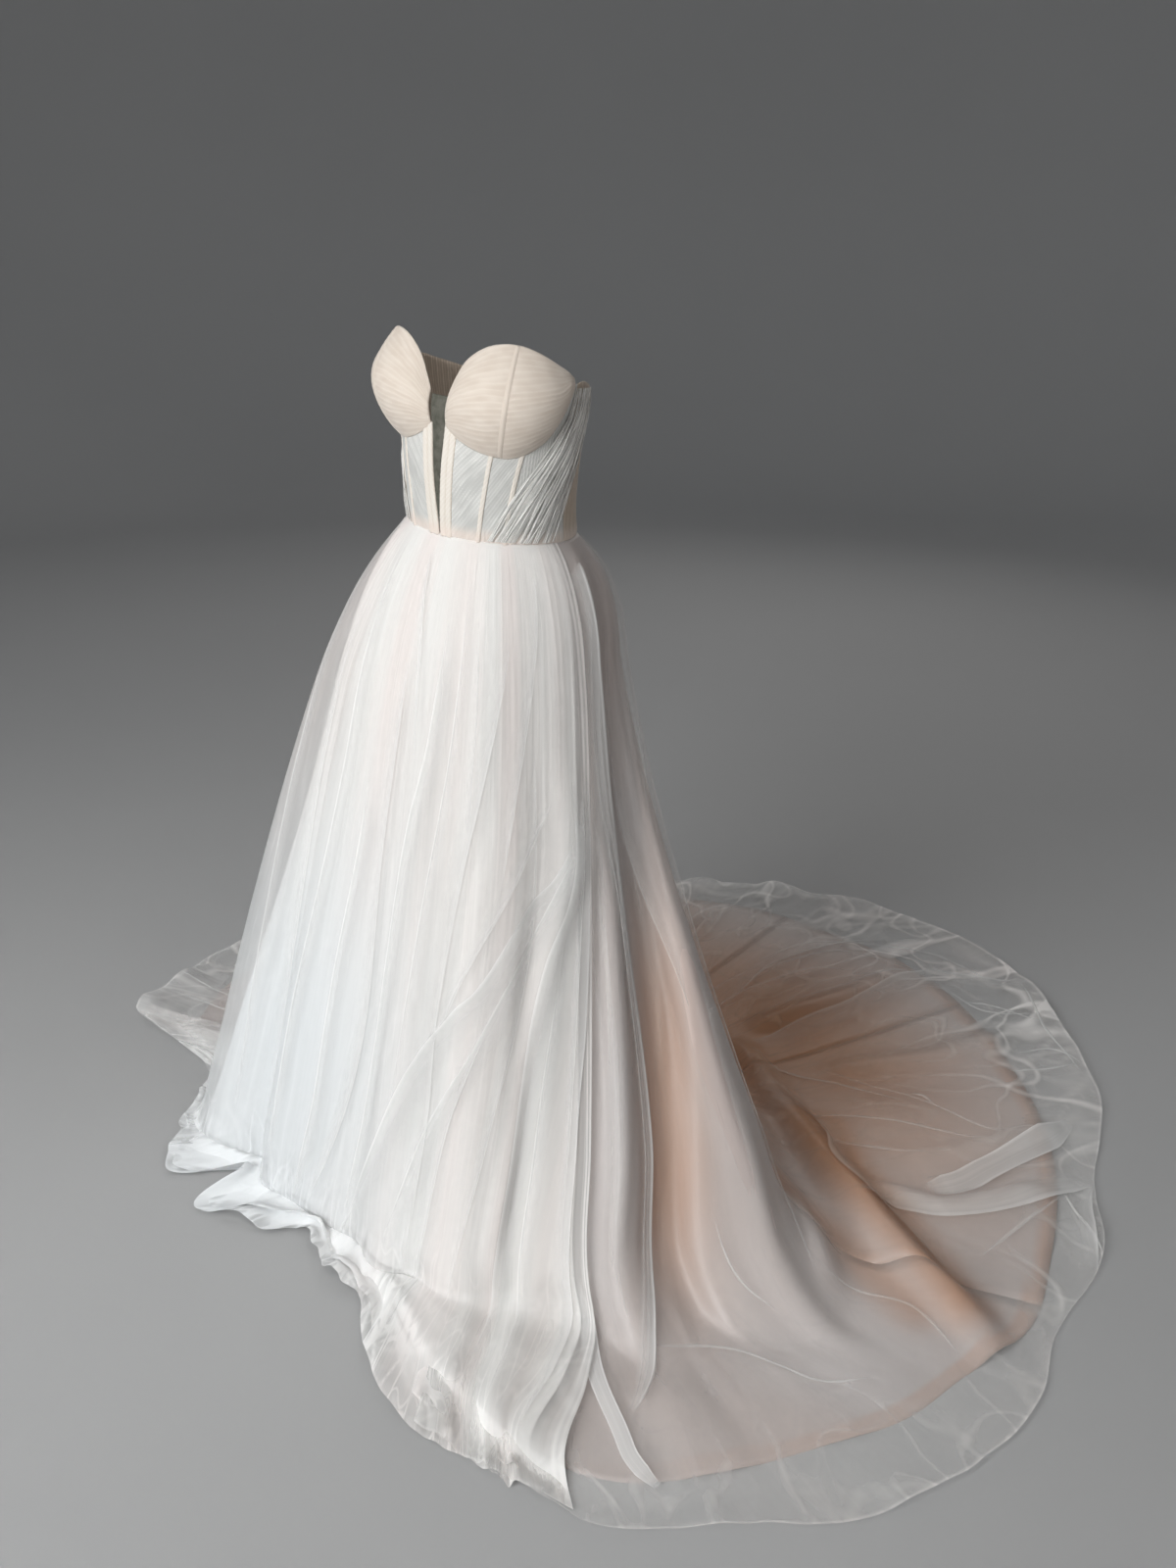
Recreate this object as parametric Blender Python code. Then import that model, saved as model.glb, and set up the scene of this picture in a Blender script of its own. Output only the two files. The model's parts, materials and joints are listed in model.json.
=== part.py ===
"""An A-line wedding dress in its worn shape, hollow from neckline to hem.

Metres, +Z up. The origin is the centre of the waist, where the wearer holds the dress up. The front faces -Y
and +X is the wearer's left. The bodice is set out by its turn, in degrees from the centre front towards the
wearer's left, and its height. The skirt is set out by its angle, in degrees from +X towards +Y, and its rows.
"""

import math

import bmesh
import bpy
import numpy as np
from mathutils import Matrix, Vector

# Cloth and seams
SEAM_GAP = 0.0004
LAY_GAP = 0.0004
PANEL_THICK = 0.0014
SATIN_THICK = 0.0016
TULLE_THICK = 0.0014
STRIP_THICK = 0.0012
CUP_EDGE_THICK = 0.0022
CUP_PAD = 0.0032

# Bodice
INSERT_BOTTOM = 0.010
INSERT_TOP = 0.201
INSERT_HALF_BOTTOM = 0.0012
INSERT_HALF_TOP = 0.0165
INSERT_THICK = 0.0011
CUP_STAND = 0.037
CUP_INNER_SHARE = 0.012
CUP_SEAM_CLEAR = 0.0016
CUP_SEAM_TURN = 40.0
CUP_SEAM_LEAN = 4.0
BODICE_FOOT = 0.0005
BACK_SEAM_TURN = 135.0
PLEATS = 12
PLEAT_RISE = 0.0009
PLEAT_FAN_INNER = 1.80
PLEAT_FAN_OUTER = 0.60
CF_CASING_WIDTH = 0.022
CASING_WIDTH = 0.008
CASING_SHORT = 0.0014
CUP_STRIP_WIDTH = 0.009
DRAPE_PLEATS = 7
DRAPE_CLEAR = PANEL_THICK + PLEAT_RISE + 2 * LAY_GAP + STRIP_THICK + LAY_GAP

# Skirt
FLOOR = -1.135
LEAN = -0.07
LEAN_FADE = 0.5
SATIN_STEP = 6
TULLE_STEP = 3
GATHER_RISE = 0.0026
OVERLAY_STAND = 0.004
OVERLAY_FULL = 0.30
FLOOR_GATHER = 0.35
FRONT_MIDDLE = -110
LEFT_MIDDLE = 22
LEFT_HALF = 35
HEM_LIP = 0.004
HEM_STEP = 0.035
FLOOR_CREASE = 0.34
HEM_FLUTTER = 0.004
HEM_WAVES = 15

# Zip at the centre back
ZIP_TOP = 0.196
ZIP_WIDTH = 0.024
SLIDER_MIDDLE = 0.186
SLIDER_WIDTH = 0.0072
SLIDER_HEIGHT = 0.0110
SLIDER_DEPTH = 0.0026
PIN_RADIUS = 0.0006
PIN_CLEAR = 0.0003
PIN_STAND = 0.0022
PIN_RISE = 0.0015
PIN_SIDES = 10
LUG_WIDTH = 0.0016
LUG_HALF = 0.0016
EYE_RADIUS = 0.0016
EYE_WIDTH = 0.0032
EYE_SIDES = 16
TAB_LENGTH = 0.022
TAB_THICK = 0.0012
TAB_OUTLINE = np.array(
    [  # share of the tab's length below the pin, width
        (0.055, 0.0026),
        (0.25, 0.0030),
        (0.55, 0.0048),
        (0.80, 0.0056),
        (0.93, 0.0048),
        (1.00, 0.0028),
    ]
)

BODICE_RINGS = np.array(
    [  # height, half width, front depth, back depth
        (0.000, 0.142, 0.118, 0.111),
        (0.050, 0.141, 0.121, 0.110),
        (0.100, 0.146, 0.121, 0.111),
        (0.150, 0.154, 0.116, 0.113),
        (0.200, 0.162, 0.111, 0.117),
        (0.250, 0.166, 0.104, 0.118),
        (0.300, 0.168, 0.096, 0.118),
    ]
)
CUP_EDGES = np.array(
    [  # turn, height of the seam under the cup, height of the neckline
        (5.0, 0.159, 0.199),
        (9.0, 0.151, 0.224),
        (14.0, 0.143, 0.249),
        (20.0, 0.136, 0.265),
        (27.0, 0.130, 0.276),
        (36.0, 0.1255, 0.282),
        (45.0, 0.1245, 0.282),
        (56.0, 0.132, 0.275),
        (64.0, 0.144, 0.267),
        (71.0, 0.160, 0.259),
        (79.0, 0.198, 0.2505),
        (86.0, 0.231, 0.241),
    ]
)
CUP_CROSS = np.array(
    [  # share of the cup's height, share of the stand-off
        (0.00, 0.00),
        (0.13, 0.48),
        (0.28, 0.82),
        (0.45, 1.00),
        (0.63, 0.94),
        (0.82, 0.55),
        (1.00, 0.06),
    ]
)
SIDE_TOP = np.array(
    [  # turn, height of the top edge
        (86.0, 0.2300),
        (95.0, 0.2350),
        (113.0, 0.2270),
        (135.0, 0.2140),
        (180.0, 0.2000),
    ]
)
CASING_LINES = np.array(
    [  # height, turn of the middle casing, turn of the side casing
        (0.000, 27.0, 44.3),
        (0.070, 32.0, 49.5),
        (0.130, 35.0, 53.6),
    ]
)
DRAPE_EDGES = np.array(
    [  # share of the length, front turn, front height, back turn, back height, sag
        (0.00, 88.0, 0.2270, 114.0, 0.2240, 0.002),
        (0.14, 84.5, 0.1990, 112.0, 0.1940, 0.005),
        (0.30, 76.5, 0.1640, 108.0, 0.1560, 0.008),
        (0.46, 67.5, 0.1300, 102.0, 0.1180, 0.011),
        (0.62, 57.0, 0.0940, 95.0, 0.0780, 0.010),
        (0.80, 45.0, 0.0490, 87.0, 0.0380, 0.006),
        (1.00, 33.0, 0.0020, 79.0, 0.0020, 0.001),
    ]
)
SKIRT_ROWS = np.array(
    [  # drop below the waist, share of the flare at the front, the back and the left side, lift of the tulle
        (0.000, 0.000, 0.000, 0.000, 0.0004),
        (0.012, 0.018, 0.016, 0.018, 0.0024),
        (0.045, 0.068, 0.056, 0.060, 0.0050),
        (0.100, 0.140, 0.090, 0.100, 0.0080),
        (0.200, 0.238, 0.105, 0.125, 0.0110),
        (0.380, 0.370, 0.145, 0.200, 0.0130),
        (0.650, 0.590, 0.285, 0.380, 0.0130),
        (0.910, 0.812, 0.530, 0.630, 0.0130),
        (1.080, 0.950, 0.830, 0.840, 0.0110),
    ]
)
FLOOR_ROWS = np.array(
    [  # share of the way from the touch-down to the satin hem, height off the floor, lift of the tulle
        (0.00, 0.0060, 0.0090),
        (0.45, 0.0000, 0.0070),
        (1.00, 0.0000, 0.0040),
    ]
)
HEMS = np.array(
    [  # angle, radius where the skirt meets the floor, radius of the satin hem, radius of the tulle hem
        (-165, 0.500, 0.720, 0.860),
        (-157, 0.520, 0.560, 0.620),
        (-147, 0.530, 0.546, 0.584),
        (-138, 0.530, 0.546, 0.590),
        (-130, 0.505, 0.521, 0.602),
        (-124, 0.450, 0.468, 0.595),
        (-120, 0.415, 0.430, 0.470),
        (-115, 0.425, 0.440, 0.565),
        (-108, 0.420, 0.436, 0.530),
        (-103, 0.410, 0.426, 0.500),
        (-93, 0.390, 0.406, 0.458),
        (-84, 0.400, 0.416, 0.500),
        (-73, 0.430, 0.450, 0.535),
        (-66, 0.450, 0.500, 0.650),
        (-59, 0.470, 0.580, 0.715),
        (-51, 0.495, 0.680, 0.775),
        (-45, 0.510, 0.760, 0.830),
        (-38, 0.530, 0.820, 0.900),
        (-30, 0.590, 0.850, 0.935),
        (-19, 0.670, 0.885, 1.005),
        (-10, 0.715, 0.930, 1.035),
        (-3, 0.715, 0.950, 1.055),
        (6, 0.680, 1.000, 1.045),
        (17, 0.600, 1.010, 1.085),
        (28, 0.510, 1.030, 1.100),
        (38, 0.465, 1.045, 1.170),
        (48, 0.450, 1.060, 1.215),
        (60, 0.440, 1.085, 1.280),
        (72, 0.440, 1.085, 1.300),
        (84, 0.440, 1.060, 1.230),
        (94, 0.440, 1.040, 1.170),
        (105, 0.445, 0.990, 1.075),
        (122, 0.450, 0.930, 1.030),
        (142, 0.465, 0.880, 0.975),
        (163, 0.480, 0.830, 0.935),
        (180, 0.490, 0.790, 0.900),
        (195, 0.500, 0.720, 0.860),
    ]
)
FAN = np.array(
    [  # angle at the waist, how far the cloth has turned from it at the floor, and at the hem
        (-180, 0, 0),
        (-140, 2, 1),
        (-110, 1, 0),
        (-84, 0, 0),
        (-62, -5, -6),
        (-40, -11, -14),
        (-24, -20, -25),
        (-9, -26, -36),
        (3, -33, -35),
        (15, -34, -33),
        (30, -34, -31),
        (45, -23, -18),
        (60, -14, -8),
        (75, -8, -4),
        (90, -4, -2),
        (110, -1, 0),
        (180, 0, 0),
    ]
)
FOLDS = np.array(
    [  # angle at the waist, half width in degrees, rise at the floor
        (-168, 9.0, 0.030),
        (-151, 8.0, -0.020),
        (-140, 8.0, 0.020),
        (-128, 8.0, -0.022),
        (-116, 8.0, 0.026),
        (-104, 7.5, -0.014),
        (-94, 7.5, 0.020),
        (-84, 7.5, -0.014),
        (-73, 7.5, 0.022),
        (-62, 7.5, -0.016),
        (-50, 8.5, 0.026),
        (-30, 11.0, -0.026),
        (3, 9.0, 0.050),
        (15, 8.0, -0.030),
        (30, 12.0, 0.045),
        (42, 9.0, -0.050),
        (52, 9.0, 0.045),
        (61, 9.0, -0.030),
        (71, 10.0, 0.032),
        (81, 9.0, -0.022),
        (92, 10.0, 0.034),
        (104, 10.0, -0.022),
        (116, 10.0, 0.034),
        (131, 10.0, -0.022),
        (145, 10.0, 0.034),
        (160, 10.0, -0.022),
        (177, 10.0, 0.030),
    ]
)
SATIN_GORES = {"lining_front": (246, 294), "lining_side_front_left": (294, 336), "lining_side_left": (-24, 36),
               "lining_side_back_left": (36, 66), "lining_back_left": (66, 90), "lining_back_right": (90, 120),
               "lining_side_back_right": (120, 150), "lining_side_right": (150, 198),
               "lining_side_front_right": (198, 246)}
TULLE_GORES = {"tulle_side_left": (-48, 36), "tulle_back_left": (36, 90),
               "tulle_back_right": (90, 150), "tulle_side_right": (150, 228)}
OVERLAY_GORES = {"tulle_front_right": (192, 234), "tulle_front": (234, 294), "tulle_front_left": (294, 351)}

COLOURS = {
    "cup": ((0.86, 0.76, 0.68), 0.75),
    "sheer": ((0.80, 0.79, 0.77), 0.80),
    "casing": ((0.88, 0.83, 0.76), 0.65),
    "insert": ((0.45, 0.43, 0.38), 0.85),
    "satin": ((0.82, 0.66, 0.58), 0.38),
    "tulle": ((0.88, 0.85, 0.82), 0.80),
    "tape": ((0.86, 0.82, 0.76), 0.70),
    "zip": ((0.86, 0.82, 0.76), 0.45),
}


def column(table, key, number):
    """The value in one named column of a table, read at key by its first column."""
    return float(np.interp(key, table[:, 0], table[:, number]))


def material(name):
    """The Principled material of that name, made once."""
    if name in bpy.data.materials:
        return bpy.data.materials[name]
    made = bpy.data.materials.new(name)
    made.use_nodes = True
    surface = made.node_tree.nodes["Principled BSDF"]
    colour, rough = COLOURS[name]
    surface.inputs["Base Color"].default_value = (*colour, 1.0)
    surface.inputs["Roughness"].default_value = rough
    return made


def finish(name, bm, finish_name):
    """Turns the bmesh into the scene's object of that name."""
    bmesh.ops.recalc_face_normals(bm, faces=bm.faces[:])
    mesh = bpy.data.meshes.new(name)
    bm.to_mesh(mesh)
    bm.free()
    mesh.materials.append(material(finish_name))
    mesh.shade_smooth()
    mesh.set_sharp_from_angle(angle=math.radians(50))
    made = bpy.data.objects.new(name, mesh)
    bpy.context.scene.collection.objects.link(made)
    return made


def leaned(point):
    """The worn dress sits a little higher on the wearer's right, which fades out down the skirt."""
    share = min(max(1 + point.z / LEAN_FADE, 0), 1)
    return Vector((point.x, point.y, point.z + LEAN * point.x * share))


def wall(name, rows, columns, place, finish_name):
    """A piece of cloth: a grid whose point (i, j) has its inside and outside place given by place(i, j)."""
    bm = bmesh.new()
    bmesh.ops.create_grid(bm, x_segments=columns, y_segments=rows, size=0.5)
    number = bm.verts.layers.int.new("number")
    for v in bm.verts:
        i, j = round((v.co.y + 0.5) * rows), round((v.co.x + 0.5) * columns)
        v[number] = i * (columns + 1) + j
        v.co = leaned(place(i, j)[0])
    bmesh.ops.triangulate(bm, faces=bm.faces[:], quad_method="FIXED")
    raised = bmesh.ops.extrude_face_region(bm, geom=bm.faces[:], use_keep_orig=True)
    for v in raised["geom"]:
        if isinstance(v, bmesh.types.BMVert):
            v.co = leaned(place(*divmod(v[number], columns + 1))[1])
    return finish(name, bm, finish_name)


def pair(name, rows, columns, place, finish_name):
    """The same piece for the wearer's left and, mirrored, right."""

    def other_side(i, j):
        return [Vector((-p.x, p.y, p.z)) for p in place(i, j)]

    wall(name + "_left", rows, columns, place, finish_name)
    wall(name + "_right", rows, columns, other_side, finish_name)


# Bodice


def on_bodice(turn, height, out=0.0):
    """The point of the bodice's inside at that turn and height, moved out by out."""
    wide, front, back = (column(BODICE_RINGS, height, n) for n in (1, 2, 3))
    deep = front if abs(turn) < 90 else back
    s, c = math.sin(math.radians(turn)), math.cos(math.radians(turn))
    outward = Vector((s / wide, -c / deep, 0)).normalized()
    return Vector((wide * s, -deep * c, height)) + outward * out


def turn_at(x, height):
    return math.degrees(math.asin(x / column(BODICE_RINGS, height, 1)))


def turn_across(width, height):
    """How many degrees that width takes near the middle of a side's front."""
    return math.degrees(width / column(BODICE_RINGS, height, 1))


def insert_half(height):
    share = (height - INSERT_BOTTOM) / (INSERT_TOP - INSERT_BOTTOM)
    return INSERT_HALF_BOTTOM + (INSERT_HALF_TOP - INSERT_HALF_BOTTOM) * max(share, 0)


def front_edge(height):
    """The turn of the bodice's centre front edge, beside the insert."""
    return turn_at(insert_half(height) + SEAM_GAP, height)


def panel_top(turn):
    """The height of a panel's top edge: the seam under the cup, then the open edge at the side and back."""
    if turn < CUP_EDGES[-1, 0]:
        return column(CUP_EDGES, turn, 1) - CUP_SEAM_CLEAR
    return column(SIDE_TOP, turn, 1)


def build_insert():
    rows, columns = 6, 4

    def place(i, j):
        height = INSERT_BOTTOM + (INSERT_TOP - INSERT_BOTTOM) * i / rows
        x = insert_half(height) * (2 * j / columns - 1)
        turn = turn_at(x, height)
        low, high = CUP_EDGES[0, 1:]
        stand = cup_stand(CUP_EDGES[0, 0], max((height - low) / (high - low), 0))
        return on_bodice(turn, height, stand), on_bodice(turn, height, stand + INSERT_THICK)

    wall("mesh_insert", rows, columns, place, "insert")


def bone_turn(height, number):
    return column(CASING_LINES, height, number)


def top_along(turn_of):
    """The height at which a line of the bodice, given as a turn for each height, meets the top edge."""
    top = CASING_LINES[-1, 0]
    for _ in range(5):
        top = panel_top(turn_of(top))
    return top


def build_pleated_panel(name, inner_turn, outer_turn):
    """A sheer panel whose flat pleats rise towards the side, fanning out of its lower inner corner."""
    rows, columns = 2 * PLEATS, 3

    def place(i, j):
        across, up = j / columns, i / rows
        share = up ** (PLEAT_FAN_INNER + (PLEAT_FAN_OUTER - PLEAT_FAN_INNER) * across)

        def line(height):
            return inner_turn(height) * (1 - across) + outer_turn(height) * across

        height = BODICE_FOOT + (top_along(line) - BODICE_FOOT) * share
        turn = line(height)
        rise = PLEAT_RISE if i % 2 and 0 < i < rows else 0.0
        return on_bodice(turn, height), on_bodice(turn, height, PANEL_THICK + rise)

    pair(name, rows, columns, place, "sheer")


def build_plain_panel(name, inner_turn, outer_turn, columns, rows=5):
    """A panel between two seam lines, each given as a turn for each height."""

    def place(i, j):
        across = j / columns

        def line(height):
            return inner_turn(height) * (1 - across) + outer_turn(height) * across

        height = BODICE_FOOT + (top_along(line) - BODICE_FOOT) * i / rows
        return on_bodice(line(height), height), on_bodice(line(height), height, PANEL_THICK)

    pair(name, rows, columns, place, "sheer")


def build_casing(name, line, width, ridges):
    """A boned tape along a seam line, with one raised channel for each bone."""
    rows, columns = 5, 2 * ridges
    base = PANEL_THICK + PLEAT_RISE + 2 * LAY_GAP

    def place(i, j):
        up = i / rows

        def edge(height):
            return line(height) + turn_across(width, height) * j / columns

        height = BODICE_FOOT + (top_along(edge) - CASING_SHORT - BODICE_FOOT) * up
        turn = edge(height)
        rise = STRIP_THICK if j % 2 else 0.0006
        return on_bodice(turn, height, base), on_bodice(turn, height, base + rise)

    pair(name, rows, columns, place, "casing")


def along_cup(turn):
    first, last = CUP_EDGES[0, 0], CUP_EDGES[-1, 0]
    return min(max((turn - first) / (last - first), 0), 1)


def cup_stand(turn, up):
    """How far the cup's dome stands off the bodice."""
    along = CUP_INNER_SHARE + (1 - CUP_INNER_SHARE) * along_cup(turn)
    return CUP_STAND * math.sin(math.pi * along) ** 0.75 * column(CUP_CROSS, up, 1)


def cup_point(turn, up, out):
    """A point of a cup: turn along it, up is the share of its height there, out is off its inside."""
    low, high = column(CUP_EDGES, turn, 1), column(CUP_EDGES, turn, 2)
    return on_bodice(turn, low + (high - low) * up, cup_stand(turn, up) + out)


def cup_thick(turn, up):
    along = along_cup(turn)
    return CUP_EDGE_THICK + CUP_PAD * math.sqrt(max(math.sin(math.pi * along) * math.sin(math.pi * up), 0))


def cup_seam(up):
    return CUP_SEAM_TURN + CUP_SEAM_LEAN * up


def build_cup(name, start, end, columns):
    rows = len(CUP_CROSS) - 1

    def place(i, j):
        up = float(CUP_CROSS[i, 0])
        turn = start(up) + (end(up) - start(up)) * j / columns
        return cup_point(turn, up, 0), cup_point(turn, up, cup_thick(turn, up))

    pair(name, rows, columns, place, "cup")


def build_cup_strip():
    """The narrow tape that covers a cup's own seam."""
    rows, columns = len(CUP_CROSS) - 1, 2

    def place(i, j):
        up = 0.01 + 0.985 * float(CUP_CROSS[i, 0])
        turn = cup_seam(up) + turn_across(CUP_STRIP_WIDTH, 0.2) * (j / columns - 0.5)
        base = cup_thick(turn, up) + 2 * LAY_GAP
        return cup_point(turn, up, base), cup_point(turn, up, base + STRIP_THICK)

    pair("cup_strip", rows, columns, place, "casing")


def build_drape():
    """The pleated swath from the underarm forward to the waist, hanging in sagging folds over the side."""
    rows, columns = 9, 2 * DRAPE_PLEATS

    def place(i, j):
        along, across = i / rows, j / columns
        turns = [column(DRAPE_EDGES, along, n) for n in (1, 3)]
        heights = [column(DRAPE_EDGES, along, n) for n in (2, 4)]
        turn = turns[0] + (turns[1] - turns[0]) * across
        height = heights[0] + (heights[1] - heights[0]) * across
        height = min(height, panel_top(turn) - SEAM_GAP)
        sag = column(DRAPE_EDGES, along, 5) * math.sin(math.pi * across) ** 0.6
        ridge = 0.35 + 0.65 * (j % 2)
        out = DRAPE_CLEAR + sag * ridge
        return on_bodice(turn, height, out), on_bodice(turn, height, out + PANEL_THICK)

    pair("side_drape", rows, columns, place, "sheer")


def build_bodice():
    build_insert()
    middle, side = (lambda h: bone_turn(h, 1)), (lambda h: bone_turn(h, 2))
    gap = 0.1
    build_pleated_panel("front_panel", front_edge, lambda h: middle(h) - gap)
    build_pleated_panel("side_front_panel", lambda h: middle(h) + gap, lambda h: side(h) - gap)
    build_plain_panel("side_panel", lambda h: side(h) + gap, lambda h: 90 - gap, 9)
    build_plain_panel("side_back_panel", lambda h: 90 + gap, lambda h: BACK_SEAM_TURN - gap, 5)
    build_plain_panel("back_panel", lambda h: BACK_SEAM_TURN + gap, lambda h: 180 - gap, 5)
    build_casing("front_casing", front_edge, CF_CASING_WIDTH, 2)
    build_casing("middle_casing", lambda h: middle(h) - 1.6, CASING_WIDTH, 1)
    build_casing("side_casing", lambda h: side(h) - 1.6, CASING_WIDTH, 1)

    def inner_edge(up):
        height = CUP_EDGES[0, 1] + (CUP_EDGES[0, 2] - CUP_EDGES[0, 1]) * up
        return turn_at(insert_half(height) + 0.001, height)

    seam_half = math.degrees(SEAM_GAP / 2 / 0.15)
    build_cup("cup_inner", inner_edge, lambda up: cup_seam(up) - seam_half, 6)
    build_cup("cup_outer", lambda up: cup_seam(up) + seam_half, lambda up: CUP_EDGES[-1, 0] - gap, 7)
    build_cup_strip()
    build_drape()


# Skirt


def bump(away):
    """A smooth rise from 0 at one away to 1 at the middle."""
    return 0.5 + 0.5 * math.cos(math.pi * away) if abs(away) < 1 else 0.0


def fold(angle, drop):
    """How far the large folds stand out at that angle and drop, growing from the waist to the floor."""
    down = drop / -FLOOR
    total = 0.0
    for centre, half, rise in FOLDS:
        away = (angle - centre + 180) % 360 - 180
        total += rise * bump(away / (half * (1.25 - 0.25 * down)))
    return total * (0.12 * min(drop / 0.05, 1) + 0.88 * down**1.1) if drop else 0.0


def around(table, angle, number):
    """A column of a table that starts and ends at the same direction, read all the way round."""
    first = table[0, 0]
    return column(table, (angle - first) % 360 + first, number)


def row_angle(angle, k):
    """Where the cloth that hangs from that angle of the waist is at row k, because the folds sweep round."""
    at_floor, at_hem = around(FAN, angle, 1), around(FAN, angle, 2)
    if k < len(SKIRT_ROWS):
        return angle + at_floor * SKIRT_ROWS[k, 0] / SKIRT_ROWS[-1, 0]
    share = FLOOR_ROWS[min(k - len(SKIRT_ROWS), len(FLOOR_ROWS) - 1), 0]
    return angle + at_floor + (at_hem - at_floor) * share


def hem_angle(angle):
    return row_angle(angle, len(SKIRT_ROWS) + len(FLOOR_ROWS))


def waist_radius(angle):
    a = math.radians(angle)
    wide, front, back = BODICE_RINGS[0, 1:]
    deep = front if math.sin(a) < 0 else back
    return 1 / math.hypot(math.cos(a) / wide, math.sin(a) / deep)


def satin_profile(angle):
    """The inside of the satin that hangs from one angle of the waist, as (radius, height) for each row."""
    waist = waist_radius(angle)
    touch = around(HEMS, row_angle(angle, len(SKIRT_ROWS)), 1)
    left = bump((angle - LEFT_MIDDLE) / LEFT_HALF)
    front = (1 - left) * (0.5 + 0.5 * math.cos(math.radians(angle - FRONT_MIDDLE)))
    rows = []
    for drop, at_front, at_back, at_left, _ in SKIRT_ROWS:
        share = at_front * front + at_left * left + at_back * (1 - front - left)
        rows.append((waist + (touch - waist) * share + fold(angle, drop), -drop))
    lift = fold(angle, -FLOOR)
    down = touch + lift
    hem = max(around(HEMS, hem_angle(angle), 2), down + 0.014)
    for share, off_floor, _ in FLOOR_ROWS:
        crease = FLOOR_CREASE * max(lift, 0) * (1 - share) ** 0.7 * min(share * 4, 1)
        rows.append((down + (hem - down) * share, FLOOR + off_floor + crease))
    return rows


def outward(rows, k):
    """The unit direction off the cloth at row k of a profile, as (radius, height), level at the waist."""
    if k == 0:
        return Vector((1.0, 0.0))
    before, after = rows[max(k - 1, 0)], rows[min(k + 1, len(rows) - 1)]
    along = Vector((after[0] - before[0], after[1] - before[1])).normalized()
    return Vector((-along.y, along.x))


def grown(rows, by):
    """A profile moved off the cloth, by one distance or by one for each row."""
    by = by if isinstance(by, list) else [by] * len(rows)
    return [tuple(Vector(rows[k]) + outward(rows, k) * by[k]) for k in range(len(rows))]


def satin_outside(angle):
    """The satin's outside at any angle, straight between its own columns."""
    low = math.floor(angle / SATIN_STEP + 1e-6) * SATIN_STEP
    share = (angle - low) / SATIN_STEP
    sides = [grown(satin_profile(low + n), SATIN_THICK) for n in (0, SATIN_STEP)]
    return [tuple(Vector(a).lerp(Vector(b), share)) for a, b in zip(*sides)]


def past_hem(angle, rows):
    """Adds the tulle's rows beyond the satin hem, down to the floor and out to its own hem."""
    radius = rows[-1][0] + HEM_LIP
    rows[-1] = (radius, rows[-1][1])
    hem = max(around(HEMS, hem_angle(angle), 3), radius + HEM_STEP)
    flutter = HEM_FLUTTER * (1 + math.sin(math.radians(angle * HEM_WAVES)))
    step = min(HEM_STEP, 0.6 * (hem - radius))
    return rows + [(radius + step, FLOOR + LAY_GAP), (hem, FLOOR + LAY_GAP + flutter)]


def gathers(angle):
    """How far each row stands out at a gather of the tulle: not at the waist, and little on the floor."""
    ridge = GATHER_RISE * (round(angle / TULLE_STEP) % 2)
    return [0.0] + [ridge] * (len(SKIRT_ROWS) - 1) + [ridge * FLOOR_GATHER] * len(FLOOR_ROWS)


def tulle_inside(angle):
    """The single tulle layer over the satin, gathered at the waist."""
    lift = [*SKIRT_ROWS[:, -1], *FLOOR_ROWS[:, -1]]
    return past_hem(angle, grown(satin_outside(angle), [a + b for a, b in zip(lift, gathers(angle))]))


def overlay_inside(angle):
    """The front's further layers of tulle, over the first one."""
    rows = tulle_inside(angle)
    base = TULLE_THICK + LAY_GAP
    own = [min(-row[1] / OVERLAY_FULL, 1) * (OVERLAY_STAND + ridge) for row, ridge in zip(rows, gathers(angle))]
    return grown(rows, [base + stand for stand in own] + [base, base])


def around_axis(angle, row, shift=0.0):
    """The point at (radius, height) in that direction, moved sideways by shift."""
    a = math.radians(angle)
    radius, height = row
    side = Vector((-math.sin(a), math.cos(a), 0)) * shift
    return Vector((radius * math.cos(a), radius * math.sin(a), height)) + side


def build_gore(name, span, step, inside, thick, finish_name):
    """One gore between two angles of the waist, its seam edges half a gap back from the seam lines."""
    start, end = span
    columns = (end - start) // step
    angles = [start + j * step for j in range(columns + 1)]
    inner = [inside(angle) for angle in angles]
    outer = [grown(rows, thick) for rows in inner]

    def place(i, j):
        shift = SEAM_GAP / 2 * ((j == 0) - (j == columns))
        angle = row_angle(angles[j], i)
        return around_axis(angle, inner[j][i], shift), around_axis(angle, outer[j][i], shift)

    wall(name, len(inner[0]) - 1, columns, place, finish_name)


def build_skirt():
    for name, span in SATIN_GORES.items():
        build_gore(name, span, SATIN_STEP, satin_profile, SATIN_THICK, "satin")
    for name, span in TULLE_GORES.items():
        build_gore(name, span, TULLE_STEP, tulle_inside, TULLE_THICK, "tulle")
    for name, span in OVERLAY_GORES.items():
        build_gore(name, span, TULLE_STEP, overlay_inside, TULLE_THICK, "tulle")


# Zip


def box(name, centre, size):
    bm = bmesh.new()
    bmesh.ops.create_cube(bm, size=1.0)
    bmesh.ops.scale(bm, vec=size, verts=bm.verts[:])
    bmesh.ops.translate(bm, vec=centre, verts=bm.verts[:])
    return finish(name, bm, "zip")


def rod(name, centre, radius, length, sides):
    """A round bar along X."""
    bm = bmesh.new()
    bmesh.ops.create_cone(bm, cap_ends=True, segments=sides, radius1=radius, radius2=radius, depth=length)
    bmesh.ops.rotate(bm, cent=(0, 0, 0), matrix=Matrix.Rotation(math.pi / 2, 3, "Y"), verts=bm.verts[:])
    bmesh.ops.translate(bm, vec=centre, verts=bm.verts[:])
    return finish(name, bm, "zip")


def combine(piece, other, operation):
    """Joins or cuts piece by other, which becomes a hidden helper."""
    other.hide_render = True
    other.display_type = "WIRE"
    change = piece.modifiers.new(other.name, "BOOLEAN")
    change.operation = operation
    change.object = other


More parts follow.
